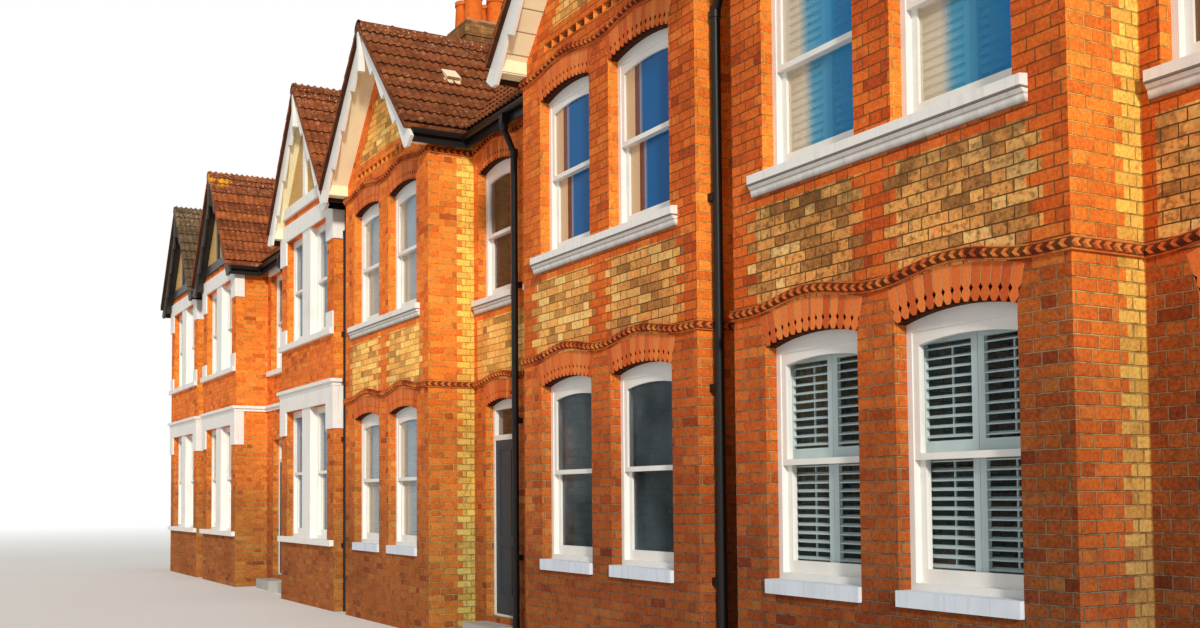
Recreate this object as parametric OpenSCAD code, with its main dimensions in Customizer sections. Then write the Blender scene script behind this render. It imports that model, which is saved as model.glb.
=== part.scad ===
// A row of six two-storey terraced houses, built in mirrored pairs.
// The three pairs stand side by side. In each pair the two bays face the street
// next to the shared party wall, and the doorway walls lie set back on the outer sides.
// Houses 1 to 3 have rendered lintels, houses 4 to 6 have arches of cut red brick.
// X runs along the row, the street front faces -Y, and Z = 0 is the ground.

/* [Row] */
// Width of the wall with the door, from a brick bay to the next party line
recess_w = 1290.5; // [1270:0.5:1400]
// Distance of the main ridge behind the bay fronts
ridge_y = 2450; // [2420:1:2700]

/* [Walls] */
// Thickness of the street walls
front_t = 225; // [200:1:330]
// Thickness of the party walls and the two end walls
party_t = 225; // [200:1:330]
// Thickness of the rear wall
rear_t = 225; // [200:1:330]
// Distance that the bays stand in front of the doorway walls
bay_out = 582; // [540:1:700]

/* [Brick bays] */
// Width of a bay window opening
win_w = 993; // [940:1:1020]
// Width of the brick pier at each end of a bay front
end_pier_w = 377; // [350:1:400]
// Width of the brick pier between the two windows of a bay
mid_pier_w = 348; // [320:1:380]
// Clear gap between the two bays of a pair
bay_gap = 495; // [460:1:560]

/* [Rendered bays] */
// Width of a rendered bay front
bay2_w = 2750; // [2650:1:2850]
// Clear gap from a rendered bay to its twin
bay2_gap = 600; // [560:1:640]
// Width of one of the paired windows
win2_w = 850; // [780:1:880]
// Width of the thick mullion between the paired windows
mullion_w = 420; // [340:1:460]
// Distance that the rendered bands and blocks stand out of the brickwork
render_out = 25; // [15:1:40]

/* [Levels] */
// Height of the top of the ground floor
ground_floor_z = 225; // [150:1:300]
// Height of the top of the first floor
first_floor_z = 3180; // [3100:1:3250]
// Thickness of the two floors
floor_t = 200; // [150:1:250]
// Height of the top of the ground-floor window sills
sill_z = 1000; // [900:1:1100]
// Height of the springing of the ground-floor arches
spring_z = 2651; // [2600:1:2680]
// Height of the top of the upper window sills
upper_sill_z = 3917; // [3880:1:3960]
// Height of the springing of the upper arches
upper_spring_z = 5430; // [5400:1:5450]
// Height of the window heads of the rendered ground floors
lintel_z = 2960; // [2900:1:2990]
// Height of the window heads of the rendered upper floors
upper_lintel_z = 5680; // [5640:1:5700]
// Height of the underside of the roof at the outer face of the walls
plate_z = 5858; // [5845:1:5900]

/* [Arches and string courses] */
// Rise of the window arches
arch_rise = 65; // [55:1:75]
// Depth of the arch rings, one brick long
ring_h = 225; // [210:1:230]
// Number of cut bricks in a window arch
ring_bricks = 14; // [11:1:16]
// Depth of the pointed front of the cut bricks
spear_t = 45; // [30:1:60]
// Height of the moulded string courses, one brick high
string_h = 76; // [65:1:80]
// Distance that the string courses stand out of the wall
string_out = 22; // [12:1:30]
// Height that the string courses rise over each arch
wave_h = 75; // [70:1:80]

/* [Sills] */
// Distance that the moulded upper sills stand out of the wall
sill_out = 64; // [50:1:80]
// Height of the moulded upper sills
sill_h = 162; // [140:1:180]
// Thickness of the upper sills where they run into the wall
sill_tongue_h = 50; // [40:1:70]
// Height of the stone ground-floor sills
stone_sill_h = 100; // [80:1:120]

/* [Windows] */
// Distance from the wall face back to the window frames
frame_back = 100; // [80:1:120]
// Depth of the window frames
frame_d = 100; // [90:1:120]
// Width of the frame that shows around the sashes
frame_w = 45; // [35:1:60]
// Thickness of one sash
sash_t = 42; // [38:1:48]
// Width of the sash stiles and top rails
stile_w = 52; // [42:1:60]
// Height of the bottom rail
bottom_rail_h = 85; // [70:1:100]
// Height of the meeting rails
meeting_h = 42; // [34:1:50]

/* [Doorways] */
// Width of the front door openings
door_w = 820; // [800:1:840]
// Distance from the bay to the door opening of a brick house
door_off = 330; // [300:1:345]
// Width of the windows over the front doors
over_w = 900; // [860:1:940]
// Distance from the bay to the window over the door of a brick house
over_off = 140; // [120:1:170]
// Distance from the bay to the door opening of a rendered house
door2_off = 430; // [400:1:450]
// Distance from the bay to the window over the door of a rendered house
over2_off = 250; // [200:1:270]
// Height of a front door leaf
door_h = 2000; // [1950:1:2040]
// Thickness of a door leaf
door_t = 44; // [40:1:50]

/* [Roof] */
// Pitch of the front slope and of the roofs over the brick bays
pitch = 45.7; // [44.5:0.1:46.5]
// Height of the main ridge over the ridges of the rendered bay roofs
ridge_step = 125; // [60:1:300]
// Pitch of the rear slope
rear_pitch = 26; // [24:0.1:30]
// Thickness of the roof with its rafters, battens and tiles
roof_t = 150; // [130:1:170]
// Thickness of the tiles and battens, which run out over the bargeboards
tile_t = 50; // [40:1:60]
// Distance that the tiles overhang the walls at the eaves
eaves_out = 130; // [110:1:160]
// Distance that the verges of the brick houses stand out of the bay fronts
verge_out = 350; // [300:1:380]
// Distance that the verges of the rendered houses stand out of the bay fronts
verge2_out = 230; // [200:1:260]
// Thickness of the bargeboards
barge_t = 40; // [30:1:50]
// Greatest depth of the bargeboards below the tiles
barge_h = 230; // [200:1:250]
// Number of scallops along each bargeboard
scallops = 4; // [3:1:5]
// Width of the ridge tiles
ridge_w = 230; // [200:1:260]

/* [Rainwater goods] */
// Thickness of the fascia boards behind the gutters
fascia_t = 18; // [15:1:25]
// Height of the fascia boards
fascia_h = 170; // [140:1:190]
// Width of the gutters
gutter_w = 90; // [80:1:98]
// Height of the gutter rims above the foot of the fascia boards
gutter_rim = 130; // [110:1:140]
// Diameter of the downpipes
pipe_d = 76; // [65:1:90]

/* [Chimneys] */
// Side of a chimney stack along the row
stack_w = 690; // [640:1:800]
// Side of a chimney stack from front to rear
stack_d = 720; // [640:1:800]
// Height of the top of the chimney stacks
stack_z = 8575; // [8500:1:8800]
// Distance from the bay fronts to the middle of the chimney stacks
stack_y = 2150; // [2100:1:2300]
// Height of a chimney pot
pot_h = 450; // [380:1:550]
// Diameter of a chimney pot at its foot
pot_d = 290; // [260:1:300]

/* [Rear] */
// Width of the rear windows
rear_win_w = 1050; // [950:1:1100]
// Height of the rear windows
rear_win_h = 1450; // [1350:1:1500]
// Width of the rear doors
rear_door_w = 850; // [800:1:880]

/* [Hidden] */

$fn = 48;
PAIRS = 3;
eps = 1;

bay1_w = 2 * end_pier_w + 2 * win_w + mid_pier_w;
house_w = bay_gap / 2 + bay1_w + recess_w;
row_w = 2 * PAIRS * house_w;

main_cos = cos(pitch);
rear_cos = cos(rear_pitch);
ridge_z = plate_z + roof_t / main_cos + (ridge_y - bay_out) * tan(pitch);
// The pitch that brings the roof over a rendered bay up to its ridge, over half its width.
apex_up = ridge_z - ridge_step - plate_z;
pitch2 = acos(roof_t / norm([apex_up, bay2_w / 2])) - atan(bay2_w / 2 / apex_up);
rear_y = ridge_y + (ridge_z - plate_z - roof_t / rear_cos) / tan(rear_pitch);
gutter_reach = eaves_out + fascia_t + gutter_w;
total_d = verge_out + rear_y + gutter_reach;
front_y = verge_out - total_d / 2;
door_back_y = bay_out + front_t;

// One bed joint lies between the arch rings and the string courses.
joint = 9;
string_z = spring_z + ring_h + joint;
upper_string_z = upper_spring_z + ring_h + joint;

// House numbers run from 1 on the left to 6 on the right.
function pair_x(n) = (floor((n - 1) / 2) * 2 + 1 - PAIRS) * house_w;
function is_left(n) = n % 2 == 1;
function rendered(n) = n <= 3;
function bay_w(n) = rendered(n) ? bay2_w : bay1_w;
function bay_in(n) = (rendered(n) ? bay2_gap : bay_gap) / 2;
function bay_end(n) = bay_in(n) + bay_w(n);
function bay_mid(n) = bay_in(n) + bay_w(n) / 2;
function bay_pitch(n) = rendered(n) ? pitch2 : pitch;
function bay_verge(n) = rendered(n) ? verge2_out : verge_out;
function bay_apex(n) = plate_z + bay_w(n) / 2 * tan(bay_pitch(n)) + roof_t / cos(bay_pitch(n));
function arch_radius(w, rise) = (w * w / 4 + rise * rise) / (2 * rise);

// Puts a house drawn to the right of its pair's party line in its place in the row.
module house(n) {
    translate([pair_x(n), front_y, 0])
        mirror([is_left(n) ? 1 : 0, 0, 0]) children();
}

module in_row() {
    translate([0, front_y, 0]) children();
}

// Stands an outline drawn in X and Z up as a slab from y0 to y0 + t.
module slab(y0, t) {
    translate([0, y0 + t, 0]) rotate([90, 0, 0]) linear_extrude(t) children();
}

// Runs an outline drawn in Y and Z along X from x0.
module run_x(x0, len) {
    translate([x0, 0, 0]) rotate([90, 0, 90]) linear_extrude(len) children();
}

// Outline of an opening with a flat or arched head, from the sill line up.
module opening_2d(w, z0, z1, rise) {
    translate([-w / 2, z0]) square([w, z1 - z0]);
    if (rise > 0) {
        r = arch_radius(w, rise);
        intersection() {
            translate([0, z1 + rise - r]) circle(r, $fn = 180);
            translate([-w / 2, z1 - eps]) square([w, 2 * rise]);
        }
    }
}

// Wedge of the arch ring over an opening, between its two skewbacks.
module ring_2d(w, z1, rise, depth) {
    r = arch_radius(w, rise);
    half = asin(w / 2 / r);
    far = 2 * (r + depth);
    intersection() {
        difference() {
            translate([0, z1 + rise - r]) circle(r + depth, $fn = 180);
            translate([0, z1 + rise - r]) circle(r, $fn = 180);
        }
        translate([0, z1 + rise - r])
            polygon([[0, 0], [far * sin(half), far * cos(half)], [-far * sin(half), far * cos(half)]]);
    }
}

// Everything that a brick arch takes out of the wall round an opening.
module arched_hole_2d(w, z0, z1) {
    r = arch_radius(w, arch_rise);
    centre = z1 + arch_rise - r;
    far = 2 * r / cos(asin(w / 2 / r));
    side = [far * w / 2 / r, centre + far * (z1 - centre) / r];
    translate([-w / 2, z0]) square([w, z1 - arch_rise - z0]);
    intersection() {
        translate([0, centre]) circle(r + ring_h, $fn = 180);
        polygon([[-w / 2, z1 - 2 * arch_rise], [w / 2, z1 - 2 * arch_rise], [w / 2, z1], side,
                 [-side[0], side[1]], [-w / 2, z1]]);
    }
}

// Outline of a bay front with its gable, centred on the bay.
module gable_2d(n) {
    half = bay_w(n) / 2;
    polygon([[-half, 0], [half, 0], [half, plate_z],
             [0, plate_z + half * tan(bay_pitch(n))], [-half, plate_z]]);
}

tooth_pitch = 165;
tooth_count = 13;
tooth_edge = 6;
tooth_z = upper_string_z + 3 * string_h;

// Pockets of the dog-tooth course, one brick high, where bricks laid cornerwise show their edges.
module tooth_pockets() {
    for (k = [0 : tooth_count - 1]) translate([(k - tooth_count / 2) * tooth_pitch, 0, tooth_z])
        linear_extrude(string_h)
            polygon([[tooth_edge / 2, -eps], [tooth_pitch - tooth_edge / 2, -eps],
                     [tooth_pitch / 2, tooth_pitch / 2]]);
}

module brick_bay_front(n) {
    step = (win_w + mid_pier_w) / 2;
    color("chocolate") house(n) translate([bay_mid(n), 0, 0]) difference() {
        slab(0, front_t) difference() {
            gable_2d(n);
            for (side = [-1, 1]) translate([side * step, 0]) {
                arched_hole_2d(win_w, sill_z - stone_sill_h, spring_z);
                arched_hole_2d(win_w, upper_sill_z - sill_tongue_h, upper_spring_z);
            }
        }
        tooth_pockets();
    }
}

// Room for a downpipe on a wall: it stands clear of the blocks of render and of its own collars.
pipe_gap = 35;
gap_pipe_y = 155;
collar_past = 7;
collar_h = 90;
collar_clear = 8;
pipe_space = pipe_d / 2 + collar_past + collar_clear;

lintel_h = 235;
upper_lintel_h = 255;
block_drop = 375;
sill_block_h = 245;
sill2_h = 85;
upper_sill2_z = 4020;

// The paired windows of a rendered bay share one opening under the lintel.
module rendered_bay_front(n) {
    hole = 2 * win2_w + mullion_w;
    color("firebrick") house(n) translate([bay_mid(n), 0, 0]) slab(0, front_t) difference() {
        gable_2d(n);
        translate([-hole / 2, sill_z - sill2_h]) square([hole, lintel_z - sill_z + sill2_h]);
        translate([-hole / 2, upper_sill2_z - sill2_h])
            square([hole, upper_lintel_z - upper_sill2_z + sill2_h]);
    }
}

module bay_side_walls() {
    color("chocolate") for (n = [1 : 6]) house(n)
        for (x = [bay_in(n), bay_end(n) - front_t])
            translate([x, front_t, 0]) cube([front_t, door_back_y - front_t, plate_z]);
}

function over_start(n) = bay_end(n) + (rendered(n) ? over2_off : over_off);
function door_start(n) = bay_end(n) + (rendered(n) ? door2_off : door_off);
function over_mid(n) = over_start(n) + over_w / 2;
function door_mid(n) = door_start(n) + door_w / 2;

module doorway_wall(n) {
    difference() {
        translate([bay_end(n), 0]) square([house_w - bay_end(n), plate_z]);
        if (rendered(n)) {
            translate([door_mid(n) - door_w / 2, ground_floor_z])
                square([door_w, spring_z - ground_floor_z]);
            translate([over_mid(n) - over_w / 2, upper_sill_z - sill2_h])
                square([over_w, upper_lintel_z - upper_sill_z + sill2_h]);
        } else {
            translate([door_mid(n), 0]) arched_hole_2d(door_w, ground_floor_z, spring_z);
            translate([over_mid(n), 0]) arched_hole_2d(over_w, upper_sill_z - sill_tongue_h, upper_spring_z);
        }
    }
}

// The walls with the doors, and the narrow walls between the two bays of a pair.
// The two halves that meet between neighbouring doors are one wall.
module recessed_walls() {
    color("chocolate") {
        house(1) slab(bay_out, front_t) doorway_wall(1);
        union() {
            house(2) slab(bay_out, front_t) doorway_wall(2);
            house(3) slab(bay_out, front_t) doorway_wall(3);
        }
        union() {
            house(4) slab(bay_out, front_t) doorway_wall(4);
            house(5) slab(bay_out, front_t) doorway_wall(5);
        }
        house(6) slab(bay_out, front_t) doorway_wall(6);
        for (k = [1, 3, 5]) in_row() translate([pair_x(k) - bay_in(k), bay_out, 0])
            cube([bay_in(k) + bay_in(k + 1), front_t, plate_z]);
    }
}

// Outline of the space under the main roof, drawn in Y and Z.
module under_roof_2d(y0, y1) {
    under_ridge = plate_z + (ridge_y - bay_out) * tan(pitch);
    rear_under = plate_z + (rear_y - ridge_y) * tan(rear_pitch);
    meet = ridge_y + (rear_under - under_ridge) / (tan(pitch) + tan(rear_pitch));
    intersection() {
        polygon([[bay_out, 0], [rear_y, 0], [rear_y, plate_z],
                 [meet, plate_z + (rear_y - meet) * tan(rear_pitch)], [bay_out, plate_z]]);
        translate([y0, 0]) square([y1 - y0, 2 * ridge_z]);
    }
}

module end_walls() {
    color("sienna") in_row() for (x = [-row_w / 2, row_w / 2 - party_t])
        run_x(x, party_t) under_roof_2d(door_back_y, rear_y - rear_t);
}

module party_walls() {
    color("rosybrown") in_row() for (k = [1 - PAIRS * 2 + 1 : 2 : PAIRS * 2 - 2])
        run_x(k / 2 * house_w - party_t / 2, party_t) under_roof_2d(door_back_y, rear_y - rear_t);
}

rear_door_x = 1000;
rear_win_x = 3000;
rear_head_z = 2400;
rear_upper_head_z = 5250;
rear_small_w = 800;

module rear_hole(x, w, z0, z1) {
    translate([x - w / 2, z0]) square([w, z1 - z0]);
}

module rear_wall() {
    color("peru") in_row() slab(rear_y - rear_t, rear_t) difference() {
        translate([-row_w / 2, 0]) square([row_w, plate_z]);
        for (n = [1 : 6]) translate([pair_x(n), 0]) mirror([is_left(n) ? 1 : 0, 0]) {
            rear_hole(rear_door_x, rear_door_w, ground_floor_z, rear_head_z);
            rear_hole(rear_win_x, rear_win_w, rear_head_z - rear_win_h, rear_head_z);
            rear_hole(rear_door_x, rear_small_w, rear_upper_head_z - rear_win_h, rear_upper_head_z);
            rear_hole(rear_win_x, rear_win_w, rear_upper_head_z - rear_win_h, rear_upper_head_z);
        }
    }
}

module floor_of(n, top) {
    wall = party_t / 2;
    out = n == 1 || n == 6 ? party_t : wall;
    house(n) translate([0, 0, top - floor_t]) {
        translate([wall, door_back_y, 0])
            cube([house_w - wall - out, rear_y - rear_t - door_back_y, floor_t]);
        translate([bay_in(n) + front_t, front_t, 0])
            cube([bay_w(n) - 2 * front_t, door_back_y - front_t + eps, floor_t]);
    }
}

module ground_floor() {
    color("burlywood") for (n = [1 : 6]) floor_of(n, ground_floor_z);
}

module first_floor() {
    color("burlywood") for (n = [1 : 6]) floor_of(n, first_floor_z);
}

// The gap at the joint of two cut bricks, drawn on the joint's line with the soffit at Y = 0.
// The bricks have a waist that leaves a diamond hole, touch below it, and end in blunt points.
module joint_gap_2d(half, depth) {
    polygon([[0, depth * 0.47], [half * 0.56, depth * 0.35], [0, depth * 0.20], [-half * 0.56, depth * 0.35]]);
    polygon([[0, depth * 0.17], [half * 0.7, 0], [half * 0.7, -eps], [-half * 0.7, -eps], [-half * 0.7, 0]]);
}

module arch_ring(w, z1) {
    r = arch_radius(w, arch_rise);
    half = asin(w / 2 / r);
    count = round(ring_bricks * w / win_w);
    one = 2 * half / count;
    slab(spear_t, front_t - spear_t) ring_2d(w, z1, arch_rise, ring_h);
    slab(0, spear_t) difference() {
        ring_2d(w, z1, arch_rise, ring_h);
        translate([0, z1 + arch_rise - r]) for (k = [0 : count])
            rotate(-half + one * k) translate([0, r]) joint_gap_2d(r * tan(one / 2), ring_h);
    }
}

module ground_arches() {
    step = (win_w + mid_pier_w) / 2;
    color("tomato") for (n = [4 : 6]) house(n) {
        for (side = [-1, 1]) translate([bay_mid(n) + side * step, 0, 0]) arch_ring(win_w, spring_z);
        translate([door_mid(n), bay_out, 0]) arch_ring(door_w, spring_z);
    }
}

module upper_arches() {
    step = (win_w + mid_pier_w) / 2;
    color("tomato") for (n = [4 : 6]) house(n) {
        for (side = [-1, 1]) translate([bay_mid(n) + side * step, 0, 0]) arch_ring(win_w, upper_spring_z);
        translate([over_mid(n), bay_out, 0]) arch_ring(over_w, upper_spring_z);
    }
}

// Height of a string course above its level line: it swells over each arch centre.
function swell(x, centres, span) =
    let (hits = [for (c = centres) if (abs(x - c) < span / 2) 0.5 * (1 + cos(360 * (x - c) / span))])
    len(hits) > 0 ? wave_h * max(hits) : 0;

module wave_band_2d(x0, x1, z, centres, span) {
    n = ceil((x1 - x0) / (span / 16));
    low = [for (k = [0 : n]) let (x = x0 + (x1 - x0) * k / n) [x, z + swell(x, centres, span)]];
    high = [for (k = [n : -1 : 0]) let (x = x0 + (x1 - x0) * k / n)
        [x, z + string_h + swell(x, centres, span)]];
    polygon(concat(low, high));
}

module string_course(n, z, over) {
    step = (win_w + mid_pier_w) / 2;
    span = win_w + mid_pier_w;
    x0 = bay_in(n);
    x1 = bay_end(n);
    slab(-string_out, string_out) wave_band_2d(x0 - string_out, x1 + string_out, z,
        [bay_mid(n) - step, bay_mid(n) + step], span);
    for (x = [x0 - string_out, x1]) translate([x, 0, z])
        cube([string_out, bay_out - string_out, string_h]);
    slab(bay_out - string_out, string_out) wave_band_2d(x1, house_w, z, [over], span);
    translate([0, bay_out - string_out, z]) cube([x0, string_out, string_h]);
}

module string_courses() {
    color("indianred") for (n = [4 : 6]) house(n) {
        string_course(n, string_z, door_mid(n));
        string_course(n, upper_string_z, over_mid(n));
    }
}

// Moulded sill: a square fascia over a cove that runs back to the wall.
sill_fall = 8;

module moulded_sill_2d(reach) {
    polygon([[0, 0], [0, -sill_h], [-reach * 0.35, -sill_h], [-reach * 0.5, -sill_h * 0.72],
             [-reach * 0.85, -sill_h * 0.52], [-reach, -sill_h * 0.52], [-reach, -sill_fall]]);
}

sill_past = 110;
over_sill_past = 66;
over_lintel_h = 120;

// The part of a sill that lies in the opening and carries the window frame.
module sill_tongue(x, w, h) {
    translate([x - w / 2, 0, -h]) cube([w, frame_back + frame_d, h]);
}

module upper_sills() {
    step = (win_w + mid_pier_w) / 2;
    across = 2 * win_w + mid_pier_w + 2 * sill_past;
    color("snow") for (n = [4 : 6]) house(n) {
        translate([bay_mid(n), 0, upper_sill_z]) {
            run_x(-across / 2, across) moulded_sill_2d(sill_out);
            for (side = [-1, 1]) sill_tongue(side * step, win_w, sill_tongue_h);
        }
        translate([over_mid(n), bay_out, upper_sill_z]) {
            run_x(-over_w / 2 - over_sill_past, over_w + 2 * over_sill_past) moulded_sill_2d(sill_out);
            sill_tongue(0, over_w, sill_tongue_h);
        }
    }
}

module ground_sills() {
    color("snow") for (n = [4 : 6]) house(n)
        for (side = [-1, 1]) translate([bay_mid(n) + side * (win_w + mid_pier_w) / 2, 0, 0])
            translate([-win_w / 2, -sill_out / 2, sill_z - stone_sill_h])
                cube([win_w, sill_out / 2 + frame_back + frame_d, stone_sill_h]);
}

// A band of render over the windows, with a block below each end that turns the corner.
block_wrap = 150;

module lintel_band(n, z0, h) {
    half = bay_w(n) / 2;
    hole = win2_w + mullion_w / 2;
    translate([bay_mid(n), 0, 0]) intersection() {
        union() {
            slab(-render_out, render_out) {
                translate([-half - render_out, z0]) square([2 * (half + render_out), h]);
                for (side = [-1, 1]) translate([side > 0 ? hole : -half - render_out, z0 - block_drop])
                    square([half + render_out - hole, block_drop + eps]);
            }
            for (x = [-half - render_out, half]) translate([x, 0, z0 - block_drop])
                cube([render_out, block_wrap, h + block_drop]);
        }
        slab(-render_out, render_out + block_wrap) under_soffit_2d(n);
    }
}

module rendered_lintels() {
    color("whitesmoke") for (n = [1 : 3]) house(n) {
        lintel_band(n, lintel_z, lintel_h);
        lintel_band(n, upper_lintel_z, upper_lintel_h);
        for (z = [[sill_z, lintel_z], [upper_sill2_z, upper_lintel_z]])
            translate([bay_mid(n) - mullion_w / 2, 0, z[0]])
                cube([mullion_w, frame_back + frame_d, z[1] - z[0]]);
        translate([over_start(n) - sill_past, bay_out - render_out, upper_lintel_z])
            cube([over_w + 2 * sill_past, render_out, over_lintel_h]);
    }
}

module rendered_sills() {
    color("whitesmoke") for (n = [1 : 3]) house(n) {
        hole = 2 * win2_w + mullion_w;
        for (z = [sill_z, upper_sill2_z]) translate([bay_mid(n), 0, z - sill2_h]) {
            translate([-hole / 2, 0, 0]) cube([hole, frame_back + frame_d, sill2_h]);
            translate([-bay_w(n) / 2, -sill_out, 0]) cube([bay_w(n), sill_out, sill2_h]);
        }
        for (x = [bay_in(n), bay_mid(n) + hole / 2]) translate([x, -render_out, upper_sill2_z])
            cube([(bay_w(n) - hole) / 2, render_out, sill_block_h]);
        translate([over_start(n), bay_out, upper_sill_z - sill2_h]) {
            cube([over_w, frame_back + frame_d, sill2_h]);
            translate([-sill_past, -sill_out, 0]) cube([over_w + 2 * sill_past, sill_out, sill2_h]);
        }
    }
}

// The cornice over a rendered ground floor runs round the bay and over the door in two steps.
// It is cut away where a downpipe passes.
cornice_h = 100;
cornice_out = 70;

module cornice_step(n, out) {
    x1 = house_w - pipe_space;
    polygon([[0, bay_out], [bay_in(n), bay_out], [bay_in(n), 0], [bay_end(n), 0], [bay_end(n), bay_out],
             [x1, bay_out], [x1, bay_out - out], [bay_end(n) + out, bay_out - out], [bay_end(n) + out, -out],
             [bay_in(n) - out, -out], [bay_in(n) - out, bay_out - out], [0, bay_out - out]]);
}

module rendered_cornices() {
    color("whitesmoke") for (n = [1 : 3]) house(n) translate([0, 0, lintel_z + lintel_h]) difference() {
        union() {
            linear_extrude(cornice_h / 2 + eps) cornice_step(n, cornice_out / 2);
            translate([0, 0, cornice_h / 2]) linear_extrude(cornice_h / 2) cornice_step(n, cornice_out);
        }
        if (is_left(n)) translate([bay_in(n) - cornice_out - eps, gap_pipe_y - pipe_space, -eps])
            cube([cornice_out + 2 * eps, 2 * pipe_space, cornice_h + 2 * eps]);
    }
}

// A box frame fills the opening and shows a narrow edge round the two sashes.
module window_frame(w, z0, z1, rise) {
    slab(frame_back, frame_d) difference() {
        opening_2d(w, z0, z1, rise);
        translate([-w / 2 + frame_w, z0 + frame_w]) square([w - 2 * frame_w, z1 - z0 - 2 * frame_w]);
    }
}

// Under an arch the glass of the upper sash has a curved head too.
head_rise = 36;

function pane_rise(rise) = rise > 0 ? head_rise : 0;

module sash_2d(w, h, top, bottom, rise) {
    difference() {
        translate([-w / 2, 0]) square([w, h]);
        opening_2d(w - 2 * stile_w, bottom, h - top - rise, rise);
    }
}

// The upper sash slides in front of the lower one, and they meet at half height.
sash_in = 8;

module sash_pair(w, z0, z1, rise) {
    inner = w - 2 * frame_w;
    low = z0 + frame_w;
    half = (z1 - z0 - 2 * frame_w) / 2;
    translate([0, 0, low + half - meeting_h / 2]) slab(frame_back + sash_in, sash_t)
        sash_2d(inner, half + meeting_h / 2, stile_w, meeting_h, pane_rise(rise));
    translate([0, 0, low]) slab(frame_back + sash_in + sash_t, sash_t)
        sash_2d(inner, half + meeting_h / 2, meeting_h, bottom_rail_h, 0);
}

glass_t = 4;

module glass_pair(w, z0, z1, rise) {
    inner = w - 2 * frame_w - 2 * stile_w;
    low = z0 + frame_w;
    half = (z1 - z0 - 2 * frame_w) / 2;
    head = pane_rise(rise);
    translate([0, 0, low + half + meeting_h / 2]) slab(frame_back + sash_in + sash_t / 2, glass_t)
        opening_2d(inner, 0, half - stile_w - meeting_h / 2 - head, head);
    translate([0, 0, low + bottom_rail_h]) slab(frame_back + sash_in + sash_t * 1.5, glass_t)
        opening_2d(inner, 0, half - bottom_rail_h - meeting_h / 2, 0);
}

// Calls for each front window of one storey: its middle, wall line, width, levels and rise.
function bay_windows(n, z0, z1, z0b, z1b) =
    rendered(n)
    ? [for (s = [-1, 1]) [bay_mid(n) + s * (win2_w + mullion_w) / 2, 0, win2_w, z0b, z1b, 0]]
    : [for (s = [-1, 1]) [bay_mid(n) + s * (win_w + mid_pier_w) / 2, 0, win_w, z0, z1, arch_rise]];
function ground_windows(n) = bay_windows(n, sill_z, spring_z, sill_z, lintel_z);
function upper_windows(n) = concat(
    bay_windows(n, upper_sill_z, upper_spring_z, upper_sill2_z, upper_lintel_z),
    [[over_mid(n), bay_out, over_w, upper_sill_z, rendered(n) ? upper_lintel_z : upper_spring_z,
      rendered(n) ? 0 : arch_rise]]);

module window_frames_ground() {
    color("white") for (n = [1 : 6]) house(n) for (w = ground_windows(n))
        translate([w[0], w[1], 0]) window_frame(w[2], w[3], w[4], w[5]);
}

module window_frames_upper() {
    color("white") for (n = [1 : 6]) house(n) for (w = upper_windows(n))
        translate([w[0], w[1], 0]) window_frame(w[2], w[3], w[4], w[5]);
}

module sashes() {
    color("white") for (n = [1 : 6]) house(n) for (w = concat(ground_windows(n), upper_windows(n)))
        translate([w[0], w[1], 0]) sash_pair(w[2], w[3], w[4], w[5]);
}

module sash_glass() {
    color("lightblue") for (n = [1 : 6]) house(n) {
        for (w = concat(ground_windows(n), upper_windows(n)))
            translate([w[0], w[1], 0]) glass_pair(w[2], w[3], w[4], w[5]);
        translate([door_mid(n), bay_out, 0]) slab(frame_back + frame_d / 2, glass_t) fanlight_2d();
    }
}

// Louvred shutters stand right behind the window frames of the end house, two leaves to a bay window.
// Each leaf has two tiers of slats, held by its stiles and linked by a rod on the room side.
leaf_t = 30;
leaf_gap = 4;
leaf_stile_w = 50;
leaf_rail_h = 120;
leaf_mid_h = 90;
leaf_mid_up = 50;
slat_pitch = 58;
slat_w = 46;
slat_t = 8;
slat_bite = 4;
rod_w = 12;
open_tilt = 20;
closed_tilt = 68;

module slat_tier(w, z0, z1, tilt) {
    count = floor((z1 - z0) / slat_pitch);
    step = (z1 - z0) / count;
    mid_y = slat_w / 2 + slat_t / 4;
    for (k = [0 : count - 1]) translate([0, mid_y, z0 + (k + 0.5) * step]) rotate([tilt, 0, 0])
        cube([w + 2 * slat_bite, slat_w, slat_t], center = true);
    translate([-rod_w / 2, mid_y + slat_w / 2 * cos(tilt) - rod_w / 2, z0 + step / 2])
        cube([rod_w, rod_w, (count - 1) * step + slat_w / 2 * sin(tilt)]);
}

module shutter_leaf(w, z0, z1, tilt) {
    hole = w - 2 * leaf_stile_w;
    mid_z = (z0 + z1) / 2 + leaf_mid_up;
    tiers = [[z0 + leaf_rail_h, mid_z - leaf_mid_h / 2], [mid_z + leaf_mid_h / 2, z1 - leaf_rail_h]];
    slab(0, leaf_t) difference() {
        translate([-w / 2, z0]) square([w, z1 - z0]);
        for (tier = tiers) translate([-hole / 2, tier[0]]) square([hole, tier[1] - tier[0]]);
    }
    for (tier = tiers) slat_tier(hole, tier[0], tier[1], tilt);
}

module shutters_of(windows, tilt) {
    for (w = windows, side = [-1, 1])
        let (leaf_w = (w[2] - 3 * leaf_gap) / 2)
            translate([w[0] + side * (leaf_w + leaf_gap) / 2, w[1] + frame_back + frame_d, 0])
                shutter_leaf(leaf_w, w[3], w[4], tilt);
}

module shutters() {
    end = 2 * PAIRS;
    color("white") house(end) {
        shutters_of(ground_windows(end), open_tilt);
        shutters_of(bay_windows(end, upper_sill_z, upper_spring_z, 0, 0), closed_tilt);
    }
}

rear_set = 60;
rear_bar = 55;

module rear_window_at(x, w, z1) {
    translate([x - w / 2, rear_y - rear_set - rear_bar, z1 - rear_win_h]) children();
}

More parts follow.
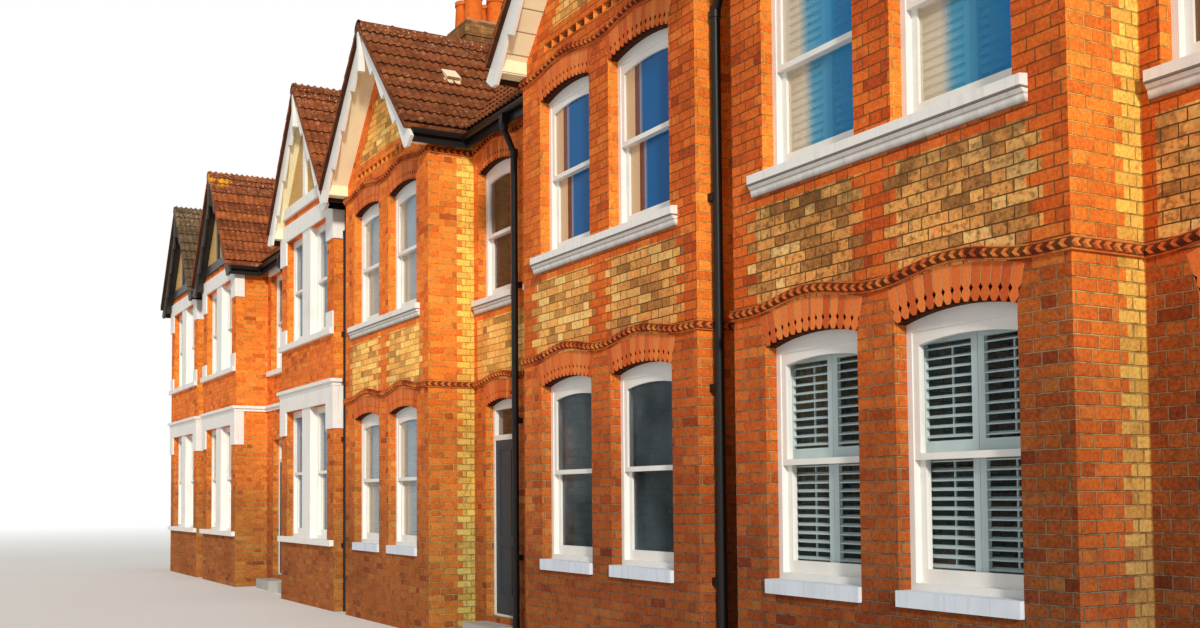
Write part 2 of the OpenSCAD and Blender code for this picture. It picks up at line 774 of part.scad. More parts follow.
module rear_casement(w) {
    difference() {
        cube([w, rear_bar, rear_win_h]);
        for (x = [rear_bar, w / 2 + rear_bar / 2])
            translate([x, -eps, rear_bar])
                cube([w / 2 - rear_bar * 1.5, rear_bar + 2 * eps, rear_win_h - 2 * rear_bar]);
    }
}

module rear_panes(w) {
    for (x = [rear_bar, w / 2 + rear_bar / 2])
        translate([x, rear_bar / 2, rear_bar])
            cube([w / 2 - rear_bar * 1.5, glass_t, rear_win_h - 2 * rear_bar]);
}

function rear_list() = [[rear_win_x, rear_win_w, rear_head_z], [rear_win_x, rear_win_w, rear_upper_head_z],
                        [rear_door_x, rear_small_w, rear_upper_head_z]];

module rear_windows() {
    color("white") for (n = [1 : 6]) house(n) for (w = rear_list())
        rear_window_at(w[0], w[1], w[2]) rear_casement(w[1]);
}

module rear_glass() {
    color("lightblue") for (n = [1 : 6]) house(n) for (w = rear_list())
        rear_window_at(w[0], w[1], w[2]) rear_panes(w[1]);
}

rear_sill_h = 70;

module rear_sills() {
    color("gainsboro") for (n = [1 : 6]) house(n) for (w = rear_list())
        translate([w[0] - w[1] / 2 - sill_past / 2, rear_y, w[2] - rear_win_h - rear_sill_h])
            cube([w[1] + sill_past, sill_out / 2, rear_sill_h]);
}

threshold_h = 25;
door_gap = 0.3;

transom_h = 60;
door_rail = 110;
lock_rail_z = 780;
panel_in = 10;

// The light over a front door, between the transom and the head of the frame.
module fanlight_2d() {
    z0 = ground_floor_z + threshold_h + door_h + transom_h;
    translate([-door_w / 2 + frame_w, z0]) square([door_w - 2 * frame_w, spring_z - frame_w - z0]);
}

// The leaf stands on the threshold, set back from the front of its frame. It has four sunk panels.
module front_doors() {
    leaf_w = door_w - 2 * frame_w - 2 * door_gap;
    leaf_h = door_h - 2 * door_gap;
    panel_w = (leaf_w - 3 * door_rail) / 2;
    color("darkslategray") for (n = [1 : 6]) house(n)
        translate([door_start(n) + frame_w + door_gap, bay_out + frame_back + sash_in,
                   ground_floor_z + threshold_h + door_gap]) difference() {
            cube([leaf_w, door_t, leaf_h]);
            for (x = [door_rail, 2 * door_rail + panel_w]) {
                translate([x, -eps, 2 * door_rail])
                    cube([panel_w, panel_in + eps, lock_rail_z - 2 * door_rail]);
                translate([x, -eps, lock_rail_z + door_rail])
                    cube([panel_w, panel_in + eps, leaf_h - lock_rail_z - 2 * door_rail]);
            }
        }
}

module front_door_frames() {
    color("white") for (n = [1 : 6]) house(n) translate([door_mid(n), bay_out, 0])
        slab(frame_back, frame_d) difference() {
            opening_2d(door_w, ground_floor_z, spring_z, rendered(n) ? 0 : arch_rise);
            translate([-door_w / 2 + frame_w, ground_floor_z + threshold_h])
                square([door_w - 2 * frame_w, door_h]);
            fanlight_2d();
        }
}

module rear_doors() {
    color("darkslategray") for (n = [1 : 6]) house(n)
        translate([rear_door_x - rear_door_w / 2, rear_y - rear_set - rear_bar, ground_floor_z])
            cube([rear_door_w, rear_bar, rear_head_z - ground_floor_z]);
}

step_d = 300;
step_drop = 60;

module doorsteps() {
    color("darkgray") for (n = [1 : 6]) house(n)
        translate([door_start(n), bay_out - step_d, 0]) cube([door_w, step_d, ground_floor_z - step_drop]);
}

// Cross-section of the main roof in Y and Z, between a top offset and a lower one.
module front_slope_2d(top, bottom) {
    y0 = main_eaves_y;
    z0 = eaves_z(pitch);
    run = ridge_y - y0;
    rise = run * tan(pitch);
    up = (roof_t - top) / main_cos;
    down = (roof_t - bottom) / main_cos;
    polygon([[y0, z0 + down], [ridge_y, z0 + rise + down], [ridge_y, z0 + rise + up], [y0, z0 + up]]);
}

module rear_slope_2d() {
    y1 = rear_y + eaves_out;
    z1 = eaves_z(rear_pitch);
    rise = (y1 - ridge_y) * tan(rear_pitch);
    up = roof_t / rear_cos;
    polygon([[y1, z1], [y1, z1 + up], [ridge_y, z1 + rise + up], [ridge_y, z1 + rise]]);
}

// Outline of the space below the tiles of a bay roof, drawn in X and Z about the bay middle.
module bay_roof_prism_2d(n, off) {
    half = bay_w(n) / 2 + eaves_out;
    edge = plate_z + (roof_t - off) / cos(bay_pitch(n)) - eaves_out * tan(bay_pitch(n));
    polygon([[-half, 0], [half, 0], [half, edge], [0, edge + half * tan(bay_pitch(n))], [-half, edge]]);
}

module front_roof_slope() {
    color("saddlebrown") difference() {
        in_row() run_x(-row_w / 2, row_w) front_slope_2d(0, roof_t);
        stack_blocks();
        for (n = [1 : 6]) house(n) translate([bay_mid(n), 0, 0])
            slab(-verge_out, 2 * ridge_y) bay_roof_prism_2d(n, 0);
    }
}

module rear_roof_slope() {
    color("saddlebrown") difference() {
        in_row() run_x(-row_w / 2, row_w) rear_slope_2d();
        stack_blocks();
    }
}

// Two slopes joined at the ridge, from the verge back into the main roof.
// The tiles run a little past the bargeboards, and the rafters stop behind them.
tile_nose = 50;

module bay_roof(n) {
    half = bay_w(n) / 2 + eaves_out + eps;
    back = min(ridge_y, bay_out + (bay_apex(n) - plate_z) / tan(pitch));
    verge = bay_verge(n);
    rafters = verge - barge_t - tile_nose;
    difference() {
        translate([bay_mid(n), 0, 0]) {
            slab(-verge, back + verge) difference() {
                bay_roof_prism_2d(n, 0);
                bay_roof_prism_2d(n, tile_t);
            }
            slab(-rafters, back + rafters) difference() {
                bay_roof_prism_2d(n, tile_t);
                bay_roof_prism_2d(n, roof_t);
            }
        }
        run_x(bay_mid(n) - half, 2 * half)
            polygon([[main_eaves_y, 0], [back + eps, 0],
                     [back + eps, plate_z + (back + eps - bay_out) * tan(pitch)],
                     [main_eaves_y, eaves_z(pitch)]]);
    }
}

module bay_roofs_brown() {
    color("saddlebrown") for (n = [4 : 6]) house(n) bay_roof(n);
}

ridge_h = 45;

module ridge_cap_2d(p) {
    w = ridge_w / 2;
    polygon([[-w, -w * tan(p)], [-w, -w * tan(p) + ridge_h], [0, ridge_h], [w, -w * tan(p) + ridge_h],
             [w, -w * tan(p)], [0, 0]]);
}

// The caps of a bay roof stop where the main slope reaches their lower edges.
function cap_end(n) = bay_out
    + (bay_apex(n) - ridge_w / 2 * tan(bay_pitch(n)) - plate_z - roof_t / main_cos) / tan(pitch);

module ridge_tiles() {
    color("sienna") {
        difference() {
            in_row() run_x(-row_w / 2, row_w)
            translate([ridge_y, ridge_z]) polygon([
                [0, 0], [-ridge_w / 2, -ridge_w / 2 * tan(pitch)],
                [-ridge_w / 2, -ridge_w / 2 * tan(pitch) + ridge_h], [0, ridge_h],
                [ridge_w / 2, -ridge_w / 2 * tan(rear_pitch) + ridge_h],
                [ridge_w / 2, -ridge_w / 2 * tan(rear_pitch)]]);
            stack_blocks();
        }
        for (n = [1 : 6]) house(n) translate([bay_mid(n), 0, 0])
            slab(-bay_verge(n), cap_end(n) + bay_verge(n))
                translate([0, bay_apex(n)]) ridge_cap_2d(bay_pitch(n));
    }
}

// Boards that close the underside of the verge, from the wall to the bargeboard.
// At its foot each verge ends in a box with an upright inner side and a level underside.
soffit_t = 30;
box_in = 90;
box_drop = 90;

// Outline of the space below the soffit boards and between the two boxes.
module under_soffit_2d(n) {
    half = bay_w(n) / 2;
    difference() {
        bay_roof_prism_2d(n, roof_t + soffit_t);
        for (x = [-half - eaves_out - eps, half - box_in]) translate([x, plate_z - box_drop])
            square([box_in + eaves_out + eps, box_drop + eaves_out + box_in]);
    }
}

module verge_soffit(n) {
    verge = bay_verge(n) - barge_t - tile_nose;
    half = bay_w(n) / 2 + eaves_out + eps;
    translate([bay_mid(n), 0, 0]) slab(-verge, verge) difference() {
        bay_roof_prism_2d(n, roof_t);
        under_soffit_2d(n);
        translate([-half, -eps]) square([2 * half, plate_z - box_drop + eps]);
    }
}

module verge_soffits() {
    color("moccasin") for (n = [1 : 6]) house(n) verge_soffit(n);
}

// Timbers on the face of a rendered gable: a tie beam from soffit to soffit, and a post on it.
tie_up = 360;
tie_z = upper_lintel_z + tie_up;
tie_h = 160;
tie_t = 45;
post_w = 110;

module gable_ties() {
    color("whitesmoke") for (n = [1 : 3]) house(n) translate([bay_mid(n), 0, 0])
        slab(-tie_t, tie_t) intersection() {
            bay_roof_prism_2d(n, roof_t + soffit_t);
            union() {
                translate([-bay_w(n) / 2, tie_z]) square([bay_w(n), tie_h]);
                translate([-post_w / 2, tie_z]) square([post_w, bay_w(n)]);
            }
        }
}

barge_drop = 185;
barge_foot_z = plate_z - barge_drop;
barge_past = 100;
pendant_w = 70;
pendant_h = 620;
pendant_nose = 5;

// The lower edge of a bargeboard is cut in waves. Each wave widens down the slope and then steps back to
// the narrow depth, which still covers the ends of the rafters and of the soffit boards.
barge_cover = 5;
notch = barge_h - (roof_t - tile_t + soffit_t + barge_cover);
first_wave = 200;
wave_run = 0.94;

module bargeboard_2d(n) {
    p = bay_pitch(n);
    half = bay_w(n) / 2 + eaves_out + barge_past;
    apex = bay_apex(n) - tile_t / cos(p);
    len = half / cos(p);
    one = (len - first_wave) / scallops;
    bumps = 8;
    low = [for (k = [0 : scallops - 1]) for (j = [0 : bumps])
        let (t = j / bumps, dip = notch * (t + sin(90 * t)) / 2)
        [first_wave + (k + t * wave_run) * one, notch - barge_h - dip]];
    intersection() {
        translate([0, apex]) rotate(-p)
            polygon(concat([[len, 0], [0, 0], [0, notch - barge_h]], low));
        translate([0, barge_foot_z]) square([half, 2 * half * tan(p)]);
    }
}

module bargeboards(n) {
    under_tiles = tile_t / cos(bay_pitch(n)) + pendant_w / 2 * tan(bay_pitch(n));
    translate([bay_mid(n), 0, 0]) {
        slab(-bay_verge(n) + tile_nose, barge_t) {
            bargeboard_2d(n);
            mirror([1, 0]) bargeboard_2d(n);
        }
        slab(-bay_verge(n) + pendant_nose, tile_nose - pendant_nose + barge_t)
            translate([-pendant_w / 2, bay_apex(n) - pendant_h])
                square([pendant_w, pendant_h - under_tiles]);
    }
}

module bargeboards_white() {
    color("white") for (n = [3 : 6]) house(n) bargeboards(n);
}

module bargeboards_dark() {
    color("dimgray") for (n = [1 : 2]) house(n) bargeboards(n);
}

gutter_t = 5;
// The fascia behind the rear gutter stops level with the rim.
rear_fascia_h = 0.8 * gutter_rim;
// Height of the lowest line of the roof at its eaves, for a wall and roof pitch.
function eaves_z(p) = plate_z - eaves_out * tan(p);
// The gutters beside a bay run from the bargeboard to the gutter of the main roof.
function side_start(n) = -bay_verge(n) + tile_nose + barge_t;
main_eaves_y = bay_out - eaves_out;
main_gutter_y = main_eaves_y - fascia_t - gutter_w;

// Outline of a half-round gutter whose rim starts at the origin and reaches to -X.
module gutter_2d() {
    r = gutter_w / 2;
    translate([-r, 0]) difference() {
        circle(r);
        circle(r - gutter_t);
        translate([-r - eps, 0]) square([2 * r + 2 * eps, r + eps]);
    }
}

module eaves_boards() {
    color("black") {
        in_row() translate([-row_w / 2, rear_y + eaves_out, eaves_z(rear_pitch)])
            cube([row_w, fascia_t, rear_fascia_h]);
        for (n = [1 : 6]) house(n) {
            start = bay_end(n) + eaves_out;
            len = main_eaves_y - side_start(n);
            translate([start, main_eaves_y - fascia_t, eaves_z(pitch)])
                cube([house_w - start, fascia_t, fascia_h]);
            translate([start, side_start(n), eaves_z(bay_pitch(n))])
                cube([fascia_t, len - fascia_t, fascia_h]);
            translate([bay_in(n) - eaves_out - fascia_t, side_start(n), eaves_z(bay_pitch(n))])
                cube([fascia_t, len, fascia_h]);
        }
    }
}

module gutters() {
    color("black") {
        in_row() translate([0, rear_y + gutter_reach, eaves_z(rear_pitch) + rear_fascia_h])
            run_x(-row_w / 2, row_w) gutter_2d();
        for (n = [1 : 6]) house(n) {
            start = bay_end(n) + eaves_out + fascia_t;
            z_side = eaves_z(bay_pitch(n)) + gutter_rim;
            len = main_gutter_y - side_start(n);
            translate([0, main_eaves_y - fascia_t, eaves_z(pitch) + gutter_rim])
                run_x(start, house_w - start) gutter_2d();
            translate([start + gutter_w, 0, z_side]) slab(side_start(n), len) gutter_2d();
            translate([bay_in(n) - eaves_out - fascia_t, 0, z_side])
                slab(side_start(n), len + gutter_w) gutter_2d();
        }
    }
}

clip_h = 60;
clip_step = 1500;
first_clip_z = 900;
neck_drop = 260;
hopper_h = 110;

// Height of the lowest line of a gutter under eaves of a given pitch.
function gutter_foot(p) = eaves_z(p) + gutter_rim - gutter_w / 2;

module collar() {
    translate([0, 0, -collar_h / 2]) cylinder(d = pipe_d + 2 * collar_past, h = collar_h);
}

// A pipe with its wall on the +Y side, whose neck leans out to -Y. Children are set on its outlet.
module downpipe(gutter_z, reach) {
    out_z = gutter_z - hopper_h - collar_h / 2;
    neck_z = out_z - neck_drop;
    lean = atan2(reach, neck_drop);
    cylinder(d = pipe_d, h = neck_z);
    for (z = [first_clip_z : clip_step : neck_z - clip_step / 2]) translate([-pipe_d * 0.6, 0, z])
        cube([pipe_d * 1.2, pipe_d / 2 + pipe_gap, clip_h]);
    translate([0, 0, neck_z]) {
        collar();
        rotate([lean, 0, 0]) cylinder(d = pipe_d - collar_past, h = neck_drop / cos(lean));
    }
    translate([0, -reach, out_z]) {
        collar();
        translate([0, 0, collar_h / 2]) children();
    }
}

// Between the bays of a pair the pipe stands on the left bay's side wall, and its hopper takes
// both side gutters. Beside the doors it stands at the party line under the gutter.
module downpipes() {
    color("black") in_row() {
        for (k = [1, 3, 5]) {
            reach = bay_in(k) - pipe_gap - pipe_d / 2;
            x0 = eaves_out + fascia_t - bay_in(k);
            x1 = bay_in(k + 1) - eaves_out - fascia_t;
            translate([pair_x(k) - reach, gap_pipe_y, 0]) rotate([0, 0, 90])
                downpipe(min(gutter_foot(bay_pitch(k)), gutter_foot(bay_pitch(k + 1))), reach)
                    translate([-gutter_w / 2, -x1, 0]) cube([gutter_w, x1 - x0, hopper_h]);
        }
        for (k = [1 : PAIRS - 1])
            translate([pair_x(2 * k) + house_w, bay_out - pipe_gap - pipe_d / 2, 0])
                downpipe(gutter_foot(pitch), gutter_w / 2 + fascia_t + eaves_out - pipe_gap - pipe_d / 2)
                    translate([-gutter_w / 2, -gutter_w / 2, 0]) cube([gutter_w, gutter_w, hopper_h]);
    }
}

// Blocks round the three stacks between two levels, wider than the stack by a step on each side.
module stack_block(step, z0, z1) {
    in_row() for (k = [1, 3, 5])
        translate([pair_x(k) - stack_w / 2 - step, stack_y - stack_d / 2 - step, z0])
            cube([stack_w + 2 * step, stack_d + 2 * step, z1 - z0]);
}

module stack_blocks() {
    stack_block(0, plate_z, stack_z);
}

corbel_out = 22;

// Two courses step out under the top of a stack, and the last course steps back.
module chimney_stacks() {
    color("sienna") difference() {
        union() {
            stack_blocks();
            stack_block(corbel_out, stack_z - 4 * string_h, stack_z);
            stack_block(2 * corbel_out, stack_z - 3 * string_h, stack_z - string_h);
        }
        in_row() run_x(-row_w / 2, row_w) under_roof_2d(0, rear_y);
    }
}

pot_bore = 190;
pot_taper = 20;
pot_rim_h = 60;
pot_rim_out = 15;

module chimney_pots() {
    color("orangered") in_row() for (k = [1, 3, 5]) translate([pair_x(k), stack_y, stack_z])
        for (x = [-1, 1]) for (y = [-1, 1]) translate([x * stack_w / 4, y * stack_d / 4, 0])
            rotate_extrude() polygon([[pot_bore / 2, 0], [pot_d / 2, 0],
                [pot_d / 2 - pot_taper, pot_h - pot_rim_h],
                [pot_d / 2 - pot_taper + pot_rim_out, pot_h - pot_rim_h],
                [pot_d / 2 - pot_taper + pot_rim_out, pot_h], [pot_bore / 2, pot_h]]);
}

rendered_bay_front(1);  // bay_front_1
rendered_bay_front(2);  // bay_front_2
rendered_bay_front(3);  // bay_front_3
brick_bay_front(4);  // bay_front_4
brick_bay_front(5);  // bay_front_5
brick_bay_front(6);  // bay_front_6
bay_side_walls();
recessed_walls();
end_walls();
party_walls();
rear_wall();
ground_floor();
first_floor();
ground_arches();
upper_arches();
string_courses();
upper_sills();
ground_sills();
rendered_lintels();
rendered_sills();
rendered_cornices();
window_frames_ground();
window_frames_upper();
sashes();
sash_glass();
shutters();
rear_windows();
rear_glass();
rear_sills();
front_doors();
front_door_frames();
rear_doors();
doorsteps();
front_roof_slope();
rear_roof_slope();
bay_roofs_brown();
color("dimgray") house(1) bay_roof(1);  // bay_roof_1
color("brown") house(2) bay_roof(2);  // bay_roof_2
color("brown") house(3) bay_roof(3);  // bay_roof_3
ridge_tiles();
verge_soffits();
gable_ties();
bargeboards_white();
bargeboards_dark();
eaves_boards();
gutters();
downpipes();
chimney_stacks();
chimney_pots();
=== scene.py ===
import bmesh
import bpy
import math
from mathutils import Matrix, Vector


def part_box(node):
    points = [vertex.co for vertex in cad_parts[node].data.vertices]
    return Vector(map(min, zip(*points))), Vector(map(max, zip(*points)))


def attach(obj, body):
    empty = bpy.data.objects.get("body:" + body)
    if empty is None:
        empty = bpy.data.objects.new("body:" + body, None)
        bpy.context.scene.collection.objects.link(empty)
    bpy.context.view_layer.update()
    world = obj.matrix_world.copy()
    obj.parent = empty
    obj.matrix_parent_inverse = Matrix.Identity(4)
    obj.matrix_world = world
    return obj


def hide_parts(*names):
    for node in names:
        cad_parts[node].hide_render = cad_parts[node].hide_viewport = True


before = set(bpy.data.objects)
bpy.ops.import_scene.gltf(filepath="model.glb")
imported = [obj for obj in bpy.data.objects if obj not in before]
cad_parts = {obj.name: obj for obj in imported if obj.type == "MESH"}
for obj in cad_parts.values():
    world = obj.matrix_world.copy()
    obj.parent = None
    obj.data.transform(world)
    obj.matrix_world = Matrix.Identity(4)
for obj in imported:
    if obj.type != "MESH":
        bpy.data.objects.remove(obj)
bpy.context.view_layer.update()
bpy.ops.object.select_all(action="DESELECT")

# Front walls. Hard red facing bricks in Flemish bond and lime mortar. The brick houses have panels of yellow
# stock brick under their upper sills and in their gables, toothed into the red piers. The gables of the
# rendered houses are ochre roughcast. Soot has worn the faces unevenly. Painted sunlight pales the sides
# that face the lamp and the walls away from the end house. Painted shade darkens the walls towards their
# foot, where there is some damp too, and the lower front of the end house.
HOUSE = 4.626
BAY_MID, BAY_HALF, BAY_DEPTH = 1.7915, 1.544, 0.582
BAY_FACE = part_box("bay_front_4")[0][1]
DOOR_WALL = BAY_FACE + BAY_DEPTH
BOND, COURSE, HEADER_START = 0.3375, 0.0762, 0.6667
PLATE, RAKE, RAKE_BORDER = 5.858, 1.0247, 0.36
PANEL_LOW, PANEL_HIGH = 2.900, 3.675
TOOTHING, PANEL_IN, PANEL_OUT = 0.1125, 0.100, 1.365
GABLE_LOW, ROUGHCAST_LOW = 6.08, 6.20
BAY_CORNER, BY_DOOR, QUOIN = 3.345, 3.43, 0.150
DOG_TOOTH, POCKET_H, POCKET_REACH = 5.881, 0.095, 1.09


def node(tree, kind, sockets=None, **settings):
    made = tree.nodes.new(kind)
    for key, value in settings.items():
        setattr(made, key, value)
    for key, value in (sockets or {}).items():
        if isinstance(value, bpy.types.NodeSocket):
            tree.links.new(value, made.inputs[key])
        else:
            made.inputs[key].default_value = value
    return made


def calc(tree, operation, a, b=0.0, c=0.0):
    return node(tree, "ShaderNodeMath", {0: a, 1: b, 2: c}, operation=operation).outputs[0]


def times(tree, a, *others):
    for b in others:
        a = calc(tree, "MULTIPLY", a, b)
    return a


def minus(tree, a, b):
    return calc(tree, "SUBTRACT", a, b)


def rest_of(tree, share):
    return calc(tree, "SUBTRACT", 1.0, share)


def is_over(tree, value, limit):
    return calc(tree, "GREATER_THAN", value, limit)


def is_under(tree, value, limit):
    return calc(tree, "LESS_THAN", value, limit)


def between(tree, value, low, high):
    return times(tree, is_over(tree, value, low), is_under(tree, value, high))


def choose(tree, factor, a, b):
    return node(tree, "ShaderNodeMix", {0: factor, 2: a, 3: b}).outputs[0]


def tint(tree, factor, a, b, blend="MIX"):
    made = node(tree, "ShaderNodeMix", {0: factor, 6: a, 7: b}, data_type="RGBA", blend_type=blend)
    return made.outputs[2]


def shade(tree, factor, face, colour):
    return tint(tree, factor, face, tint(tree, 1.0, face, colour, "MULTIPLY"))


def split_up(tree, place):
    return node(tree, "ShaderNodeSeparateXYZ", {0: place}).outputs


def stretch(tree, place, scale):
    return node(tree, "ShaderNodeVectorMath", {0: place, 1: scale}, operation="MULTIPLY").outputs[0]


def rising(tree, value, low, high):
    return node(tree, "ShaderNodeMapRange", {0: value, 1: low, 2: high, 3: 0.0, 4: 1.0}).outputs[0]


def paint_steps(tree, value, *steps):
    ramp = node(tree, "ShaderNodeValToRGB", {0: value})
    marks = ramp.color_ramp.elements
    while len(marks) < len(steps):
        marks.new(0.5)
    for mark, (place, colour) in zip(marks, steps):
        mark.position = place
        mark.color = (*colour, 1)
    return ramp.outputs[0]


def mottle(tree, place, scale, detail=3.0):
    made = node(tree, "ShaderNodeTexNoise", {"Vector": place, "Scale": scale, "Detail": detail})
    return made.outputs[0]


def new_finish(name, roughness=0.8):
    finish = bpy.data.materials.new(name)
    finish.use_nodes = True
    tree = finish.node_tree
    shader = tree.nodes["Principled BSDF"]
    shader.inputs["Roughness"].default_value = roughness
    shader.inputs["Specular IOR Level"].default_value = 0.1 if roughness > 0.75 else 0.22
    place = node(tree, "ShaderNodeTexCoord").outputs["Object"]
    return finish, tree, shader, place


def coat(tree, shader, colour):
    tree.links.new(colour, shader.inputs["Base Color"])


def raise_surface(tree, shader, height, distance, strength=1.0):
    bump = node(tree, "ShaderNodeBump", {"Height": height, "Distance": distance, "Strength": strength})
    tree.links.new(bump.outputs[0], shader.inputs["Normal"])


def faces_sideways(tree):
    normal = node(tree, "ShaderNodeNewGeometry").outputs["Normal"]
    return is_over(tree, calc(tree, "ABSOLUTE", split_up(tree, normal)[0]), 0.7)


def along_wall(tree, place):
    x, y, z = split_up(tree, place)
    across = choose(tree, faces_sideways(tree), x, y)
    return across, x, y, z


def lay_bricks(tree, across, up, joint):
    row = calc(tree, "FLOOR", calc(tree, "DIVIDE", up, COURSE))
    in_row = calc(tree, "FRACT", calc(tree, "DIVIDE", up, COURSE))
    run = calc(tree, "MULTIPLY_ADD", row, 0.5, calc(tree, "DIVIDE", across, BOND))
    count = calc(tree, "FLOOR", run)
    part = calc(tree, "FRACT", run)
    header = is_over(tree, part, HEADER_START)
    ends = calc(tree, "MINIMUM", part, rest_of(tree, part))
    ends = calc(tree, "MINIMUM", ends, calc(tree, "ABSOLUTE", minus(tree, part, HEADER_START)))
    bed = calc(tree, "MINIMUM", in_row, rest_of(tree, in_row))
    gap = calc(tree, "MINIMUM", times(tree, ends, BOND), times(tree, bed, COURSE))
    brick = rising(tree, gap, minus(tree, joint, 0.0028), joint)
    number = node(tree, "ShaderNodeCombineXYZ", {0: calc(tree, "MULTIPLY_ADD", count, 2.0, header), 1: row})
    chance = node(tree, "ShaderNodeTexWhiteNoise", {"Vector": number.outputs[0]}, noise_dimensions="3D")
    return brick, row, chance.outputs["Value"]


def red_bricks(tree, chance):
    return paint_steps(tree, chance, (0.0, (0.40, 0.060, 0.014)), (0.08, (0.60, 0.100, 0.018)),
                       (0.40, (0.70, 0.130, 0.020)), (0.90, (0.76, 0.160, 0.026)),
                       (1.0, (0.79, 0.21, 0.036)))


def stock_bricks(tree, chance):
    return paint_steps(tree, chance, (0.0, (0.40, 0.165, 0.046)), (0.15, (0.64, 0.270, 0.074)),
                       (0.5, (0.97, 0.42, 0.110)), (0.85, (0.99, 0.52, 0.150)), (1.0, (0.99, 0.62, 0.24)))


def brick_finish(name, panels=False, stock=False, cast=False, sooty=False):
    finish, tree, shader, place = new_finish(name, 0.9)
    wander = node(tree, "ShaderNodeTexNoise", {"Vector": place, "Scale": 11.0, "Detail": 2.0}).outputs[1]
    bent = node(tree, "ShaderNodeVectorMath", {0: wander, 1: (0.5, 0.5, 0.5)},
                operation="SUBTRACT").outputs[0]
    bent = node(tree, "ShaderNodeVectorMath", {0: bent, 1: (0.009, 0.009, 0.009), 2: place},
                operation="MULTIPLY_ADD").outputs[0]
    across, x, y, z = along_wall(tree, bent)
    old = rising(tree, z, 2.95, 2.70)
    joint = calc(tree, "MULTIPLY_ADD", old, 0.0010, 0.0050)
    brick, row, chance = lay_bricks(tree, across, z, joint)
    face = red_bricks(tree, chance)
    mortar = (0.30, 0.20, 0.10, 1)
    if stock:
        face = tint(tree, 1.0, stock_bricks(tree, chance), (0.74, 0.76, 0.80, 1), "MULTIPLY")
    else:
        mortar = tint(tree, old, (0.28, 0.105, 0.034, 1), (0.45, 0.26, 0.115, 1))
    if panels or cast:
        side_wall = faces_sideways(tree)
        # Painted shadow: the lower front of the end house is darkened and cooled.
        painted_shadow_low = times(tree, old, rest_of(tree, side_wall), rising(tree, x, 2.35 * HOUSE, 2.62 * HOUSE))
        face = shade(tree, painted_shadow_low, face, (0.70, 0.80, 0.90, 1))
        # Painted sunlight: paler, yellower bricks and mortar on the sides that face the lamp, more so higher
        # up, and on the walls away from the end house.
        painted_sunlight = times(tree, side_wall, rising(tree, z, 1.2, 3.4))
        painted_sunlight = calc(tree, "MAXIMUM", painted_sunlight, rising(tree, x, 1.75 * HOUSE, 0.95 * HOUSE))
        mortar = tint(tree, painted_sunlight, mortar, (0.70, 0.29, 0.088, 1))
        sunlit_gain = tint(tree, side_wall, (1.42, 1.62, 1.50, 1), (1.36, 1.90, 1.60, 1))
    if panels:
        # Panels and gables of stock brick, then the stock quoins of the bays.
        u = calc(tree, "PINGPONG", x, HOUSE)
        tooth = times(tree, calc(tree, "FLOORED_MODULO", row, 2.0), TOOTHING)
        from_mid = calc(tree, "ABSOLUTE", minus(tree, u, BAY_MID))
        width = times(tree, is_over(tree, minus(tree, from_mid, tooth), PANEL_IN),
                      is_under(tree, calc(tree, "ADD", from_mid, tooth), PANEL_OUT))
        on_bay = is_under(tree, y, BAY_FACE + 0.05)
        level = between(tree, z, PANEL_LOW, PANEL_HIGH)
        under_sill = times(tree, width, on_bay, level)
        rake = calc(tree, "MULTIPLY_ADD", from_mid, -RAKE, PLATE + BAY_HALF * RAKE - RAKE_BORDER)
        course_top = times(tree, calc(tree, "ADD", row, 1.0), COURSE)
        gable = times(tree, is_over(tree, z, GABLE_LOW), is_under(tree, course_top, rake), on_bay)
        by_door = times(tree, is_over(tree, y, DOOR_WALL - 0.02), level, is_over(tree, u, BY_DOOR))
        zone = calc(tree, "MAXIMUM", calc(tree, "MAXIMUM", under_sill, gable), by_door)
        brick_house = is_over(tree, x, 0.0)
        zone = times(tree, zone, brick_house)
        corner = is_over(tree, calc(tree, "ADD", y, times(tree, tooth, 0.6)), DOOR_WALL - QUOIN)
        corner = times(tree, corner, is_under(tree, u, BAY_CORNER), brick_house)
        sunlit_gain = tint(tree, zone, sunlit_gain, (1.30, 1.50, 1.36, 1))
        # Soot under the sills and burnt faces, most of all on the end house.
        end_house = rising(tree, x, 1.9 * HOUSE, 2.1 * HOUSE)
        soot = times(tree, between(tree, z, 2.9, 4.0), rising(tree, z, 3.10, 3.72), rest_of(tree, painted_sunlight),
                     calc(tree, "MULTIPLY_ADD", end_house, 0.60, 0.40),
                     rising(tree, mottle(tree, place, 6.0, 4.0), 0.30, 0.62))
        yellow = tint(tree, times(tree, soot, 0.85), stock_bricks(tree, chance), (0.10, 0.058, 0.024, 1))
        burnt = times(tree, rising(tree, mottle(tree, place, 22.0, 8.0), 0.50, 0.62),
                      calc(tree, "MULTIPLY_ADD", end_house, 0.32, 0.30),
                      calc(tree, "MULTIPLY_ADD", painted_sunlight, -0.60, 1.0))
        yellow = tint(tree, burnt, yellow, (0.20, 0.080, 0.020, 1))
        face = tint(tree, zone, face, yellow)
        bed = tint(tree, painted_sunlight, (0.15, 0.078, 0.027, 1), (0.66, 0.34, 0.12, 1))
        mortar = tint(tree, zone, mortar, bed)
        # Painted shade in the pockets between the dog teeth, darker the deeper they go.
        pocket = times(tree, between(tree, z, DOG_TOOTH, DOG_TOOTH + POCKET_H),
                       is_under(tree, from_mid, POCKET_REACH), is_under(tree, y, BAY_FACE + 0.10),
                       rising(tree, y, BAY_FACE + 0.012, BAY_FACE + 0.060), 0.9)
        face = tint(tree, pocket, face, (0.07, 0.026, 0.010, 1))
        mortar = tint(tree, pocket, mortar, (0.07, 0.026, 0.010, 1))
        face = tint(tree, corner, face, tint(tree, chance, (0.66, 0.27, 0.055, 1), (0.86, 0.42, 0.095, 1)))
        mortar = tint(tree, corner, mortar, (0.56, 0.26, 0.070, 1))
